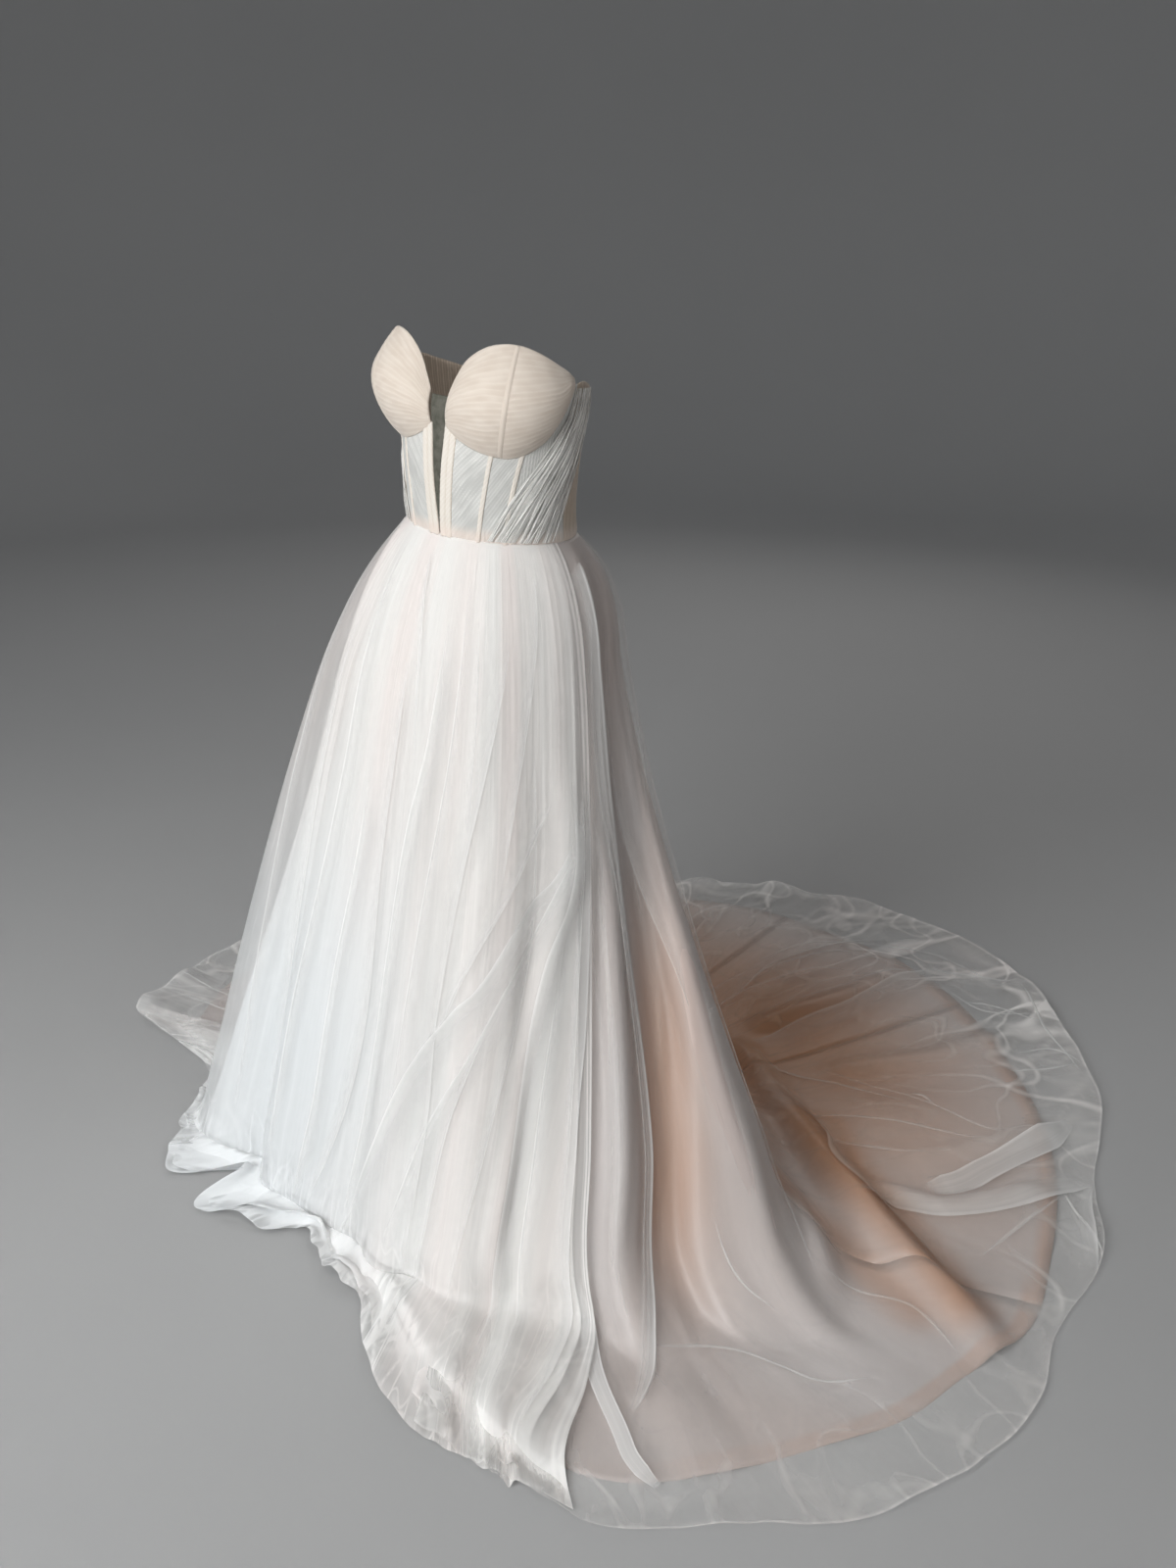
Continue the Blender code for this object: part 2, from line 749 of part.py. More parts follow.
def build_zip():
    """A concealed zip: its tape inside the centre back seam, its slider and hanging pull tab outside."""
    rows, columns = 8, 2

    def place(i, j):
        height = 0.003 + (ZIP_TOP - 0.003) * i / rows
        turn = 180 + turn_across(ZIP_WIDTH, height) * (j / columns - 0.5) * 1.25
        return on_bodice(turn, height, -2 * LAY_GAP - STRIP_THICK), on_bodice(turn, height, -2 * LAY_GAP)

    wall("zip_tape", rows, columns, place, "tape")
    outside = on_bodice(180, SLIDER_MIDDLE + SLIDER_HEIGHT / 2, PANEL_THICK + LAY_GAP).y
    build_slider(outside)
    build_pull_tab(outside)


def pin_centre(outside):
    """The axis on which the pull tab swings."""
    return Vector((0, outside + SLIDER_DEPTH + PIN_STAND, SLIDER_MIDDLE + PIN_RISE))


def build_slider(outside):
    """The slider's body with two lugs that hold the pin of the pull tab."""
    middle = Vector((0, outside + SLIDER_DEPTH / 2, SLIDER_MIDDLE))
    slider = box("zip_slider", middle, (SLIDER_WIDTH, SLIDER_DEPTH, SLIDER_HEIGHT))
    pin = pin_centre(outside)
    reach = PIN_STAND + LUG_HALF + SLIDER_DEPTH / 2
    for side in (-1, 1):
        centre = (side * (SLIDER_WIDTH - LUG_WIDTH) / 2, middle.y + reach / 2, pin.z)
        combine(slider, box(f"lug_{side}", centre, (LUG_WIDTH * 0.98, reach, 2 * LUG_HALF)), "UNION")
    combine(slider, rod("pin", pin, PIN_RADIUS, SLIDER_WIDTH - LUG_WIDTH, PIN_SIDES), "UNION")


def build_pull_tab(outside):
    """The pull tab: an eye round the pin and a leaf that widens to its rounded end."""
    pin = pin_centre(outside)
    tab = rod("zip_pull_tab", pin, EYE_RADIUS, EYE_WIDTH, EYE_SIDES)
    bm = bmesh.new()
    side = [bm.verts.new((w / 2, -TAB_THICK / 2, -d * TAB_LENGTH)) for d, w in TAB_OUTLINE]
    other = [bm.verts.new((-w / 2, -TAB_THICK / 2, -d * TAB_LENGTH)) for d, w in reversed(TAB_OUTLINE)]
    face = bm.faces.new(side + other)
    raised = bmesh.ops.extrude_face_region(bm, geom=[face], use_keep_orig=True)
    moved = [v for v in raised["geom"] if isinstance(v, bmesh.types.BMVert)]
    bmesh.ops.translate(bm, vec=(0, TAB_THICK, 0), verts=moved)
    bmesh.ops.translate(bm, vec=pin, verts=bm.verts[:])
    combine(tab, finish("leaf", bm, "zip"), "UNION")
    combine(tab, rod("eye_hole", pin, PIN_RADIUS + PIN_CLEAR, SLIDER_WIDTH, EYE_SIDES), "DIFFERENCE")


def main():
    for old in list(bpy.data.objects):
        bpy.data.objects.remove(old)
    build_bodice()
    build_skirt()
    build_zip()


main()
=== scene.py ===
import json
import math

import bmesh
import bpy
import numpy as np
from mathutils import Matrix, Vector
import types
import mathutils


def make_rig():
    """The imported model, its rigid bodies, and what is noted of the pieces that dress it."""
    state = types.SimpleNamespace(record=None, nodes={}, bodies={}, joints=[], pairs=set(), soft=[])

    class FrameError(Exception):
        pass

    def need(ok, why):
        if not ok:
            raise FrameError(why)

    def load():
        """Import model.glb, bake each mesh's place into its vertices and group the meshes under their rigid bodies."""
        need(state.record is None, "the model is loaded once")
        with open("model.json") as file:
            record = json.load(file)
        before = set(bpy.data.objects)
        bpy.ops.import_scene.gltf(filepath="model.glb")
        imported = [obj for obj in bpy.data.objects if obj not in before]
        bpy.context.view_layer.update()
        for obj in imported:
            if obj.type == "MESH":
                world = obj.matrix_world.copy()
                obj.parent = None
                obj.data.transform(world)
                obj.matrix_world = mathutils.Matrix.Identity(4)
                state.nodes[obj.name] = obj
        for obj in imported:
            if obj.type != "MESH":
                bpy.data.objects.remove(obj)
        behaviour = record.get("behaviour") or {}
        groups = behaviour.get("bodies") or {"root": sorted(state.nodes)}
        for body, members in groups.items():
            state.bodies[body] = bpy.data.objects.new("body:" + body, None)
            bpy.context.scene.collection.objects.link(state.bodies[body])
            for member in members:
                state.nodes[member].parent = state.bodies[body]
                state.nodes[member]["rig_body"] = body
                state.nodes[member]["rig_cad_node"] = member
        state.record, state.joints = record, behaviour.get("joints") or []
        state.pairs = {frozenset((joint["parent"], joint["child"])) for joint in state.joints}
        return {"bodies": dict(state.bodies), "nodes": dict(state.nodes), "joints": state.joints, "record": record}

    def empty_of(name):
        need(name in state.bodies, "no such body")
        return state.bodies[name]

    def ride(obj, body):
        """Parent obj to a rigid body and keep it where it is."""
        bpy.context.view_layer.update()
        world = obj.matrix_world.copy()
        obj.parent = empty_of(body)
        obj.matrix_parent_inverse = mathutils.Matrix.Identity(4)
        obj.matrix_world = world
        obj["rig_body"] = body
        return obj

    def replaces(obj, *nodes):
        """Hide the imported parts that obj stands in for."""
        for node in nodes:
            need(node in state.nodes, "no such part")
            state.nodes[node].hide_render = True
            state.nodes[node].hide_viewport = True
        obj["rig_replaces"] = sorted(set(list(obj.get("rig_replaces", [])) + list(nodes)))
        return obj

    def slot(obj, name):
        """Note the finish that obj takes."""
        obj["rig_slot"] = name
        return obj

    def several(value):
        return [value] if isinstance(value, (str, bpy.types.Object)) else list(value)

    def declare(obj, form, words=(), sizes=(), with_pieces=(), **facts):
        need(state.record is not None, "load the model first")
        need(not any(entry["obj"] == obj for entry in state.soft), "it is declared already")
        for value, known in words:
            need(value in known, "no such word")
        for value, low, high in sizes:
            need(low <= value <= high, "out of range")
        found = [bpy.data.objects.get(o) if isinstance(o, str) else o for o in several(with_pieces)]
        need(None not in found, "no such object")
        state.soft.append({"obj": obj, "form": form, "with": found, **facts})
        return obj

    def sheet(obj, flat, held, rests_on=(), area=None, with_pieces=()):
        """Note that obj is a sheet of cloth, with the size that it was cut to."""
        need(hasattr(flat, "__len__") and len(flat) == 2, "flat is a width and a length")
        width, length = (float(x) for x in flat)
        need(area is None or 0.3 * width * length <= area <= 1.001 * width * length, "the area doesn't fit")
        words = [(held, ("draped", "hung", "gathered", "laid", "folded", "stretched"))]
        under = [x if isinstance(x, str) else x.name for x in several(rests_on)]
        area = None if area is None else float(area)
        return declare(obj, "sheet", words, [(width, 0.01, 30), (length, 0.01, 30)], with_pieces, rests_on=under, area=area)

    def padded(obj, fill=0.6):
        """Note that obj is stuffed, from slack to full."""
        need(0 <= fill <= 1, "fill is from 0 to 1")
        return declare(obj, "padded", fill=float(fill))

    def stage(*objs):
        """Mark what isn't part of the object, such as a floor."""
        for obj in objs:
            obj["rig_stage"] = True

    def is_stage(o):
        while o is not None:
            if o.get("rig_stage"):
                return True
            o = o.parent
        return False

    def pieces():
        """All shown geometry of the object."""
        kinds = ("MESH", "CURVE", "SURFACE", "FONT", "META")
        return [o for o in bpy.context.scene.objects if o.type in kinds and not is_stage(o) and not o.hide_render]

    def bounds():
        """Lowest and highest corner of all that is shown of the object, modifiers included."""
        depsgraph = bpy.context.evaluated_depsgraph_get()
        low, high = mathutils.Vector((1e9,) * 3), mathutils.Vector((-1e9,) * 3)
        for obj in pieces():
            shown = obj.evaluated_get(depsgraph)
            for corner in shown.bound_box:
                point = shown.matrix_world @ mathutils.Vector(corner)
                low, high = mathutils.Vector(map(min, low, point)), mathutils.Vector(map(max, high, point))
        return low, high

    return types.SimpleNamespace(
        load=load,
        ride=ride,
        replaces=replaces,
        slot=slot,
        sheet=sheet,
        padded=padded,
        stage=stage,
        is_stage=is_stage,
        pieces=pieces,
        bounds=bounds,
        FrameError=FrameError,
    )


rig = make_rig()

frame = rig.load()
cadBox = [list(corner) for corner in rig.bounds()]

# The dress stands in the frame of its solids: metres, origin at the middle of the waist, front towards -Y,
# +X the wearer's left. The bodice is set out by turn (degrees from centre front to the wearer's left)
# and height, the skirt by angle (degrees from +X towards +Y at the waist) and by rows down the cloth.

floorLevel = -1.135

bodiceRings = np.array([  # height, half width, front depth, back depth
    (0.000, 0.142, 0.118, 0.111), (0.050, 0.141, 0.121, 0.110), (0.100, 0.146, 0.121, 0.111),
    (0.150, 0.154, 0.116, 0.113), (0.200, 0.162, 0.111, 0.117), (0.250, 0.166, 0.104, 0.118),
    (0.300, 0.168, 0.096, 0.118)])
cupEdges = np.array([  # turn, height of the seam under the cup, height of the neckline
    (5.0, 0.159, 0.199), (9.0, 0.151, 0.224), (14.0, 0.143, 0.249), (20.0, 0.136, 0.265),
    (27.0, 0.130, 0.276), (36.0, 0.1255, 0.282), (45.0, 0.1245, 0.282), (56.0, 0.132, 0.275),
    (64.0, 0.144, 0.267), (71.0, 0.160, 0.259), (79.0, 0.198, 0.2505), (86.0, 0.231, 0.241)])
cupCross = np.array([  # share of the cup's height, share of how far it stands off
    (0.00, 0.00), (0.13, 0.48), (0.28, 0.82), (0.45, 1.00), (0.63, 0.94), (0.82, 0.55), (1.00, 0.06)])
sideTop = np.array([  # turn, height of the top edge
    (86.0, 0.230), (95.0, 0.235), (113.0, 0.227), (135.0, 0.214), (180.0, 0.200)])
casingLines = np.array([  # height, turn of the middle casing, turn of the side casing
    (0.000, 27.0, 44.3), (0.070, 32.0, 49.5), (0.130, 35.0, 53.6)])
drapeEdges = np.array([  # share of the length, front turn, front height, back turn, back height, sag
    (0.00, 88.0, 0.2270, 114.0, 0.2240, 0.002), (0.14, 84.5, 0.1990, 112.0, 0.1940, 0.005),
    (0.30, 76.5, 0.1640, 108.0, 0.1560, 0.008), (0.46, 67.5, 0.1300, 102.0, 0.1180, 0.011),
    (0.62, 57.0, 0.0940, 95.0, 0.0780, 0.010), (0.80, 45.0, 0.0490, 87.0, 0.0380, 0.006),
    (1.00, 33.0, 0.0020, 79.0, 0.0020, 0.001)])
skirtRows = np.array([  # drop, share of the flare at the front, the back and the left, lift of the tulle
    (0.000, 0.000, 0.000, 0.000, 0.0012), (0.012, 0.018, 0.016, 0.018, 0.0034),
    (0.045, 0.068, 0.056, 0.060, 0.0060), (0.100, 0.140, 0.090, 0.100, 0.0090),
    (0.200, 0.238, 0.105, 0.125, 0.0120), (0.380, 0.370, 0.145, 0.200, 0.0140),
    (0.650, 0.590, 0.285, 0.380, 0.0140), (0.910, 0.812, 0.530, 0.630, 0.0140),
    (1.080, 0.950, 0.830, 0.840, 0.0120)])
floorRows = np.array([  # share of the way from the touch-down to the satin hem, height, lift of the tulle
    (0.00, 0.0060, 0.0095), (0.45, 0.0010, 0.0080), (1.00, 0.0008, 0.0055)])
hems = np.array([  # angle, radius where the skirt meets the floor, of the satin hem, of the tulle hem
    (-165, 0.500, 0.720, 0.860), (-157, 0.520, 0.560, 0.620), (-147, 0.530, 0.546, 0.584),
    (-138, 0.530, 0.546, 0.590), (-130, 0.505, 0.521, 0.602), (-124, 0.450, 0.468, 0.595),
    (-120, 0.415, 0.430, 0.470), (-115, 0.425, 0.440, 0.565), (-108, 0.420, 0.436, 0.530),
    (-103, 0.410, 0.426, 0.500), (-93, 0.390, 0.406, 0.458), (-84, 0.400, 0.416, 0.500),
    (-73, 0.430, 0.450, 0.535), (-66, 0.450, 0.500, 0.650), (-59, 0.470, 0.580, 0.715),
    (-51, 0.495, 0.680, 0.775), (-45, 0.510, 0.760, 0.830), (-38, 0.530, 0.820, 0.900),
    (-30, 0.590, 0.850, 0.935), (-19, 0.670, 0.885, 1.005), (-10, 0.715, 0.930, 1.035),
    (-3, 0.715, 0.950, 1.055), (6, 0.680, 1.000, 1.045), (17, 0.600, 1.010, 1.085),
    (28, 0.510, 1.030, 1.100), (38, 0.465, 1.045, 1.170), (48, 0.450, 1.060, 1.215),
    (60, 0.440, 1.085, 1.280), (72, 0.440, 1.085, 1.300), (84, 0.440, 1.060, 1.230),
    (94, 0.440, 1.040, 1.170), (105, 0.445, 0.990, 1.075), (122, 0.450, 0.930, 1.030),
    (142, 0.465, 0.880, 0.975), (163, 0.480, 0.830, 0.935), (180, 0.490, 0.790, 0.900),
    (195, 0.500, 0.720, 0.860)])
fan = np.array([  # angle at the waist, how far the cloth has turned from it at the floor, and at the hem
    (-180, 0, 0), (-140, 2, 1), (-110, 1, 0), (-84, 0, 0), (-62, -5, -6), (-40, -11, -14),
    (-24, -20, -25), (-9, -26, -36), (3, -33, -35), (15, -34, -33), (30, -34, -31), (45, -23, -18),
    (60, -14, -8), (75, -8, -4), (90, -4, -2), (110, -1, 0), (180, 0, 0)])
folds = [  # angle at the waist, half width in degrees, rise at the floor
    (-168, 9.0, 0.030), (-151, 8.0, -0.020), (-140, 8.0, 0.020), (-128, 8.0, -0.022), (-116, 8.0, 0.026),
    (-104, 7.5, -0.014), (-94, 7.5, 0.020), (-84, 7.5, -0.014), (-73, 7.5, 0.022), (-62, 7.5, -0.016),
    (-50, 8.5, 0.026), (-30, 11.0, -0.026), (3, 9.0, 0.050), (15, 8.0, -0.030), (30, 12.0, 0.045),
    (42, 9.0, -0.050), (52, 9.0, 0.045), (61, 9.0, -0.030), (71, 10.0, 0.032), (81, 9.0, -0.022),
    (92, 10.0, 0.034), (104, 10.0, -0.022), (116, 10.0, 0.034), (131, 10.0, -0.022), (145, 10.0, 0.034),
    (160, 10.0, -0.022), (177, 10.0, 0.030)]


def curve(t, first, last, long, leaving, arriving):
    # a soft curve from one value to the next, by the slope at which it leaves and the one at which it arrives
    return ((2 * t**3 - 3 * t**2 + 1) * first + (t**3 - 2 * t**2 + t) * long * leaving
            + (3 * t**2 - 2 * t**3) * last + (t**3 - t**2) * long * arriving)


def smooth(table, key, column):
    # a column of a table read at key, with a soft curve through its rows
    x, y = table[:, 0], table[:, column]
    key = np.clip(key, x[0], x[-1])
    slope = np.gradient(y, x)
    i = np.clip(np.searchsorted(x, key, side="right") - 1, 0, len(x) - 2)
    h = x[i + 1] - x[i]
    return curve((key - x[i]) / h, y[i], y[i + 1], h, slope[i], slope[i + 1])


def smoothRound(table, angle, column):
    # the same for a table that runs once round the dress
    first = table[0, 0]
    return smooth(table, (angle - first) % 360 + first, column)


def bump(away):
    # a soft hill, 1 in its middle and 0 from -1 and 1 on
    return np.where(np.abs(away) < 1, 0.5 + 0.5 * np.cos(np.pi * np.clip(away, -1, 1)), 0.0)


def ramp(value, low, high):
    # a soft step from 0 at low to 1 at high, which may be the lesser of the two
    t = np.clip((value - low) / (high - low), 0, 1)
    return t * t * (3 - 2 * t)


def wander(x, y, seed):
    # soft noise from -1 to 1, with one swell for each whole number of x and y
    grid = np.random.default_rng(seed).uniform(-1, 1, (256, 256))
    i, j = np.floor(x).astype(int), np.floor(y).astype(int)
    u, v = x - i, y - j
    u, v = u * u * (3 - 2 * u), v * v * (3 - 2 * v)
    a, b, c, d = (grid[(i + p) % 256, (j + q) % 256] for p, q in ((0, 0), (1, 0), (0, 1), (1, 1)))
    return (a * (1 - u) + b * u) * (1 - v) + (c * (1 - u) + d * u) * v


def turnOff(angle, centre):
    # degrees from a centre, the short way round
    return (angle - centre + 180) % 360 - 180


def shares(rows, columns, top=1.0, foot=0.0, left=0.0, right=1.0):
    # where the rows of a grid stand, from its top down, and where its columns stand
    return np.linspace(top, foot, rows + 1)[:, None], np.linspace(left, right, columns + 1)[None, :]


waistLean = {"rise": 0.07, "fade": 0.5}  # the seam is higher on the wearer's right; metres down to no lean


def leaned(points):
    share = np.clip(1 + points[..., 2] / waistLean["fade"], 0, 1)
    points = points.copy()
    points[..., 2] -= waistLean["rise"] * points[..., 0] * share
    return points


def normalsOf(points):
    # outward directions of a grid of points whose rows run down and whose columns run with the wearer's left
    across, down = np.gradient(points, axis=1), np.gradient(points, axis=0)
    n = np.cross(down, across)
    return n / np.maximum(np.linalg.norm(n, axis=-1, keepdims=True), 1e-12)


def layCloth(name, points, finish, thick, layers, cut, mirror=False):
    # a flat grid of cloth, shaped so that its point (row, column) goes to points[row, column];
    # layers are what its finish reads, and cut is each point's place on the cloth as it was cut
    rows, columns = points.shape[0] - 1, points.shape[1] - 1
    bm = bmesh.new()
    bmesh.ops.create_grid(bm, x_segments=columns, y_segments=rows, size=0.5, calc_uvs=True)
    mesh = bpy.data.meshes.new(name)
    bm.to_mesh(mesh)
    bm.free()
    flat = np.zeros(len(mesh.vertices) * 3)
    mesh.vertices.foreach_get("co", flat)
    flat = flat.reshape(-1, 3)
    j = np.rint((flat[:, 0] + 0.5) * columns).astype(int)
    i = np.rint((0.5 - flat[:, 1]) * rows).astype(int)
    place = leaned(points * ((-1, 1, 1) if mirror else (1, 1, 1)))[i, j]
    mesh.vertices.foreach_set("co", place.ravel())
    if mirror:
        mesh.flip_normals()
    for key, values in (layers or {}).items():
        made = mesh.attributes.new(key, "FLOAT", "POINT")
        values = np.broadcast_to(values, points.shape[:2])[i, j]
        made.data.foreach_set("value", values.astype(np.float32))
    corner = np.zeros(len(mesh.loops), int)
    mesh.loops.foreach_get("vertex_index", corner)
    uv = mesh.uv_layers[0] if mesh.uv_layers else mesh.uv_layers.new(name="cut")
    uv.name = "cut"
    places = np.stack([np.broadcast_to(c, points.shape[:2])[i, j] for c in cut], axis=-1)
    uv.data.foreach_set("uv", places[corner].astype(np.float32).ravel())
    mesh.update()
    return finishPiece(name, mesh, finish, thick)


def finishPiece(name, mesh, finish, thick=0.0):
    mesh.shade_smooth()
    mesh.materials.append(finish)
    piece = bpy.data.objects.new(name, mesh)
    bpy.context.scene.collection.objects.link(piece)
    if thick:
        wall = piece.modifiers.new("thickness", "SOLIDIFY")
        wall.thickness, wall.offset, wall.use_quality_normals = thick, -1, True
    return piece


def wear(piece, slot, *nodes):
    # all cloth is one body with the gown
    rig.ride(piece, "gown")
    if nodes:
        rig.replaces(piece, *nodes)
    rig.slot(piece, slot)
    return piece


def clothArea(points):
    across, down = np.diff(points, axis=1)[:-1], np.diff(points, axis=0)[:, :-1]
    return float(np.linalg.norm(np.cross(across, down), axis=-1).sum())


leastCut = 0.010  # metres, the narrowest strip that is stated
leastShare = 0.31  # the least share of its own rectangle that a cut piece fills


def cutOf(points, fullness=1.0):
    # the flat size and area that a piece was cut to
    wide = float(np.linalg.norm(np.diff(points, axis=1), axis=-1).sum(axis=1).max()) * fullness
    long = float(np.linalg.norm(np.diff(points, axis=0), axis=-1).sum(axis=0).mean())
    wide, long = max(round(wide, 4), leastCut), max(round(long, 4), leastCut)
    area = min(max(clothArea(points) * fullness, leastShare * wide * long), wide * long)
    return {"flat": (wide, long), "area": round(area, 6)}


def hang(piece, points, held, fullness=1.0):
    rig.sheet(piece, held=held, rests_on=["worn_waist"], **cutOf(points, fullness))


def hangStrips(name, strips, slot, held, long, *nodes):
    # many strips as one piece, stated side by side as one length of cloth
    area = sum(clothArea(points) for _, points in strips)
    bpy.ops.object.select_all(action="DESELECT")
    for strip, _ in strips:
        strip.select_set(True)
    piece = strips[0][0]
    bpy.context.view_layer.objects.active = piece
    bpy.ops.object.join()
    piece.name = name
    wear(piece, slot, *nodes)
    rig.sheet(piece, flat=(round(area / long, 4), long), held=held, rests_on=["worn_waist"])


class Wire:
    # a shader socket that can be written into sums
    def __init__(self, tree, socket=None):
        self.tree, self.socket = tree, socket

    def node(self, kind, settings=None, inputs=None, output=0):
        made = self.tree.nodes.new("ShaderNode" + kind)
        for key, value in (settings or {}).items():
            setattr(made, key, value)
        for key, value in (inputs or {}).items():
            if isinstance(value, Wire):
                self.tree.links.new(value.socket, made.inputs[key])
            else:
                made.inputs[key].default_value = value
        return Wire(self.tree, made.outputs[output])

    def sum(self, operation, a, b=None):
        # the socket itself is the first term when only one other is given
        first, second = (self, a) if b is None else (a, b)
        return self.node("Math", {"operation": operation}, {0: first, 1: second})

    def __add__(self, other):
        return self.sum("ADD", self, other)

    __radd__ = __add__

    def __sub__(self, other):
        return self.sum("SUBTRACT", self, other)

    def __rsub__(self, other):
        return self.sum("SUBTRACT", other, self)

    def __mul__(self, other):
        return self.sum("MULTIPLY", self, other)

    __rmul__ = __mul__

    def between(self, low, high):
        return self.node("MapRange", {"interpolation_type": "SMOOTHSTEP"},
                         {"Value": self, "From Min": low, "From Max": high})

    def blend(self, first, second):
        # self is the share of the second colour
        return self.node("Mix", {"data_type": "RGBA"}, {"Factor": self, 6: first, 7: second}, 2)


class Cloth:
    # a new material, with what its pattern reads and where its results go
    def __init__(self, name, roughness, **fixed):
        self.material = bpy.data.materials.new(name)
        self.material.use_nodes = True
        tree = self.material.node_tree
        self.surface = tree.nodes["Principled BSDF"]
        self.surface.inputs["Roughness"].default_value = roughness
        for key, value in fixed.items():
            self.surface.inputs[key.replace("_", " ")].default_value = value
        self.tree = tree
        self.start = Wire(tree)
        self.cut = self.start.node("UVMap", {"uv_map": "cut"})
        self.place = self.start.node("TexCoord", output=3)

    def layer(self, name):
        return self.start.node("Attribute", {"attribute_name": name}, output=2)

    def noise(self, where, stretch, scale=1.0, detail=2.0, rough=0.5, turn=0.0):
        mapping = {"Vector": where, "Scale": stretch, "Rotation": (0.0, 0.0, turn)}
        where = self.start.node("Mapping", {}, mapping)
        return self.start.node("TexNoise", {},
                               {"Vector": where, "Scale": scale, "Detail": detail, "Roughness": rough})

    def grain(self, scale, detail):
        # noise that is fixed in the piece itself
        return self.noise(self.place, (1.0, 1.0, 1.0), scale, detail)

    def line(self, where, stretch, sharp, turn=0.0):
        # thin lines that wander, where a noise passes its middle
        away = self.noise(where, stretch, 1.0, 1.0, 0.4, turn).sum("SUBTRACT", 0.5).sum("ABSOLUTE", 0.0)
        return away.between(sharp, 0.0)

    def send(self, socket, wire):
        self.tree.links.new(wire.socket, self.surface.inputs[socket])

    def relief(self, height, distance, strength):
        bumps = {"Height": height, "Distance": distance, "Strength": strength}
        self.send("Normal", self.start.node("Bump", {}, bumps))


def tone(red, green, blue):
    return (red, green, blue, 1.0)


# the warm brown tone is painted shade; blush and pale are the satin's own tones
satinLook = {
    "blush": tone(0.54, 0.46, 0.43), "paintedShade": tone(0.50, 0.24, 0.115), "pale": tone(0.55, 0.51, 0.50),
    "roughness": 0.38}


def satinFinish():
    look = Cloth("satin", satinLook["roughness"],
                 Sheen_Weight=0.15, Sheen_Roughness=0.4, Specular_IOR_Level=0.5)
    drift = look.noise(look.cut, (5.0, 1.6, 1.0), 1.0, 2.0)
    colour = drift.between(0.35, 0.7).blend(satinLook["blush"], satinLook["pale"])
    # where the layer "shade" says, painted shade turns the satin warm brown
    look.send("Base Color", look.layer("shade").blend(colour, satinLook["paintedShade"]))
    soft = look.noise(look.cut, (30.0, 7.0, 1.0), 1.0, 2.0)
    look.send("Roughness", satinLook["roughness"] - 0.05 + 0.10 * soft)
    look.relief(soft, 0.003, 0.35)
    return look.material


tulleLook = {
    # the blue-white tone is painted cool light
    "ivory": tone(0.93, 0.915, 0.89), "blush": tone(0.93, 0.86, 0.83), "paintedCoolLight": tone(0.88, 0.91, 0.93),
    # the warm brown tone is painted shade
    "paintedShade": tone(0.66, 0.36, 0.19), "roughness": 0.85,
    "creases": ((1.0, 2.6, 0.030, 0.2, 0.6), (0.9, 4.0, 0.024, 0.9, 0.5), (0.9, 5.0, 0.022, -0.7, 0.45))}


def tulleFinish(name, blush, streaks, across):
    # the layer "cover" says how much of what is behind it the net hides, and "creased" how full of sharp
    # creases it is; a row of creases has their number across and down, width, turn and weight
    look = Cloth(name, tulleLook["roughness"],
                 Sheen_Weight=0.25, Sheen_Roughness=0.5, Specular_IOR_Level=0.2)
    lines = look.noise(look.cut, (120.0, 1.4, 1.0), 1.0, 2.0, 0.65)
    colour = (look.layer("blush") * blush + (lines - 0.5) * 0.4).blend(tulleLook["ivory"], tulleLook["blush"])
    # painted cool light turns the net blue-white where its layer says
    colour = look.layer("paintedCoolLight").blend(colour, tulleLook["paintedCoolLight"])
    # where the layer "shade" says, painted shade turns the net warm brown
    look.send("Base Color", look.layer("shade").blend(colour, tulleLook["paintedShade"]))
    first, second, third = (look.line(look.cut, (across * share, down, 1.0), width, turn) * weight
                            for share, down, width, turn, weight in tulleLook["creases"])
    sharp = first + second + third
    hides = look.layer("cover") * ((1 - streaks) + 2 * streaks * lines)
    look.send("Alpha", hides + look.layer("creased") * sharp)
    look.relief(lines + look.layer("creased") * sharp, 0.0015, 0.25)
    return look.material


sheerLook = {"roughness": 0.78, "warm": tone(0.84, 0.72, 0.64), "fullAt": 0.8}


def sheerFinish(name, base, edge, thin=0.94):
    # pleated tulle of the bodice: pale along each fold's edge, greyer where a single layer is stretched
    look = Cloth(name, sheerLook["roughness"],
                 Sheen_Weight=0.3, Sheen_Roughness=0.5, Specular_IOR_Level=0.25)
    grain, drift = look.grain(1400.0, 1.0), look.grain(60.0, 3.0)
    share = look.layer("dense") + (drift - 0.5) * 0.35 + (grain - 0.5) * 0.12
    colour = share.between(0.0, 1.0).blend(base, edge)
    look.send("Base Color", look.layer("warm").blend(colour, sheerLook["warm"]))
    hides = {"Value": share, "From Min": 0.0, "From Max": sheerLook["fullAt"], "To Min": thin, "To Max": 1.0}
    look.send("Alpha", look.start.node("MapRange", {}, hides))
    threads = look.noise(look.cut, (1200.0, 1200.0, 1.0), 1.0, 0.0)
    look.relief(threads * 0.3 + grain * 0.3 + drift * 0.8, 0.0006, 0.5)
    return look.material


def casingFinish():
    look = Cloth("boningTape", 0.62, Sheen_Weight=0.2, Specular_IOR_Level=0.35)
    weave = look.noise(look.cut, (1500.0, 700.0, 1.0), 1.0, 1.0)
    drift = look.grain(45.0, 3.0)
    look.send("Base Color", drift.between(0.3, 0.7).blend(tone(0.82, 0.75, 0.67), tone(0.87, 0.82, 0.76)))
    look.relief(weave, 0.0003, 0.5)
    return look.material


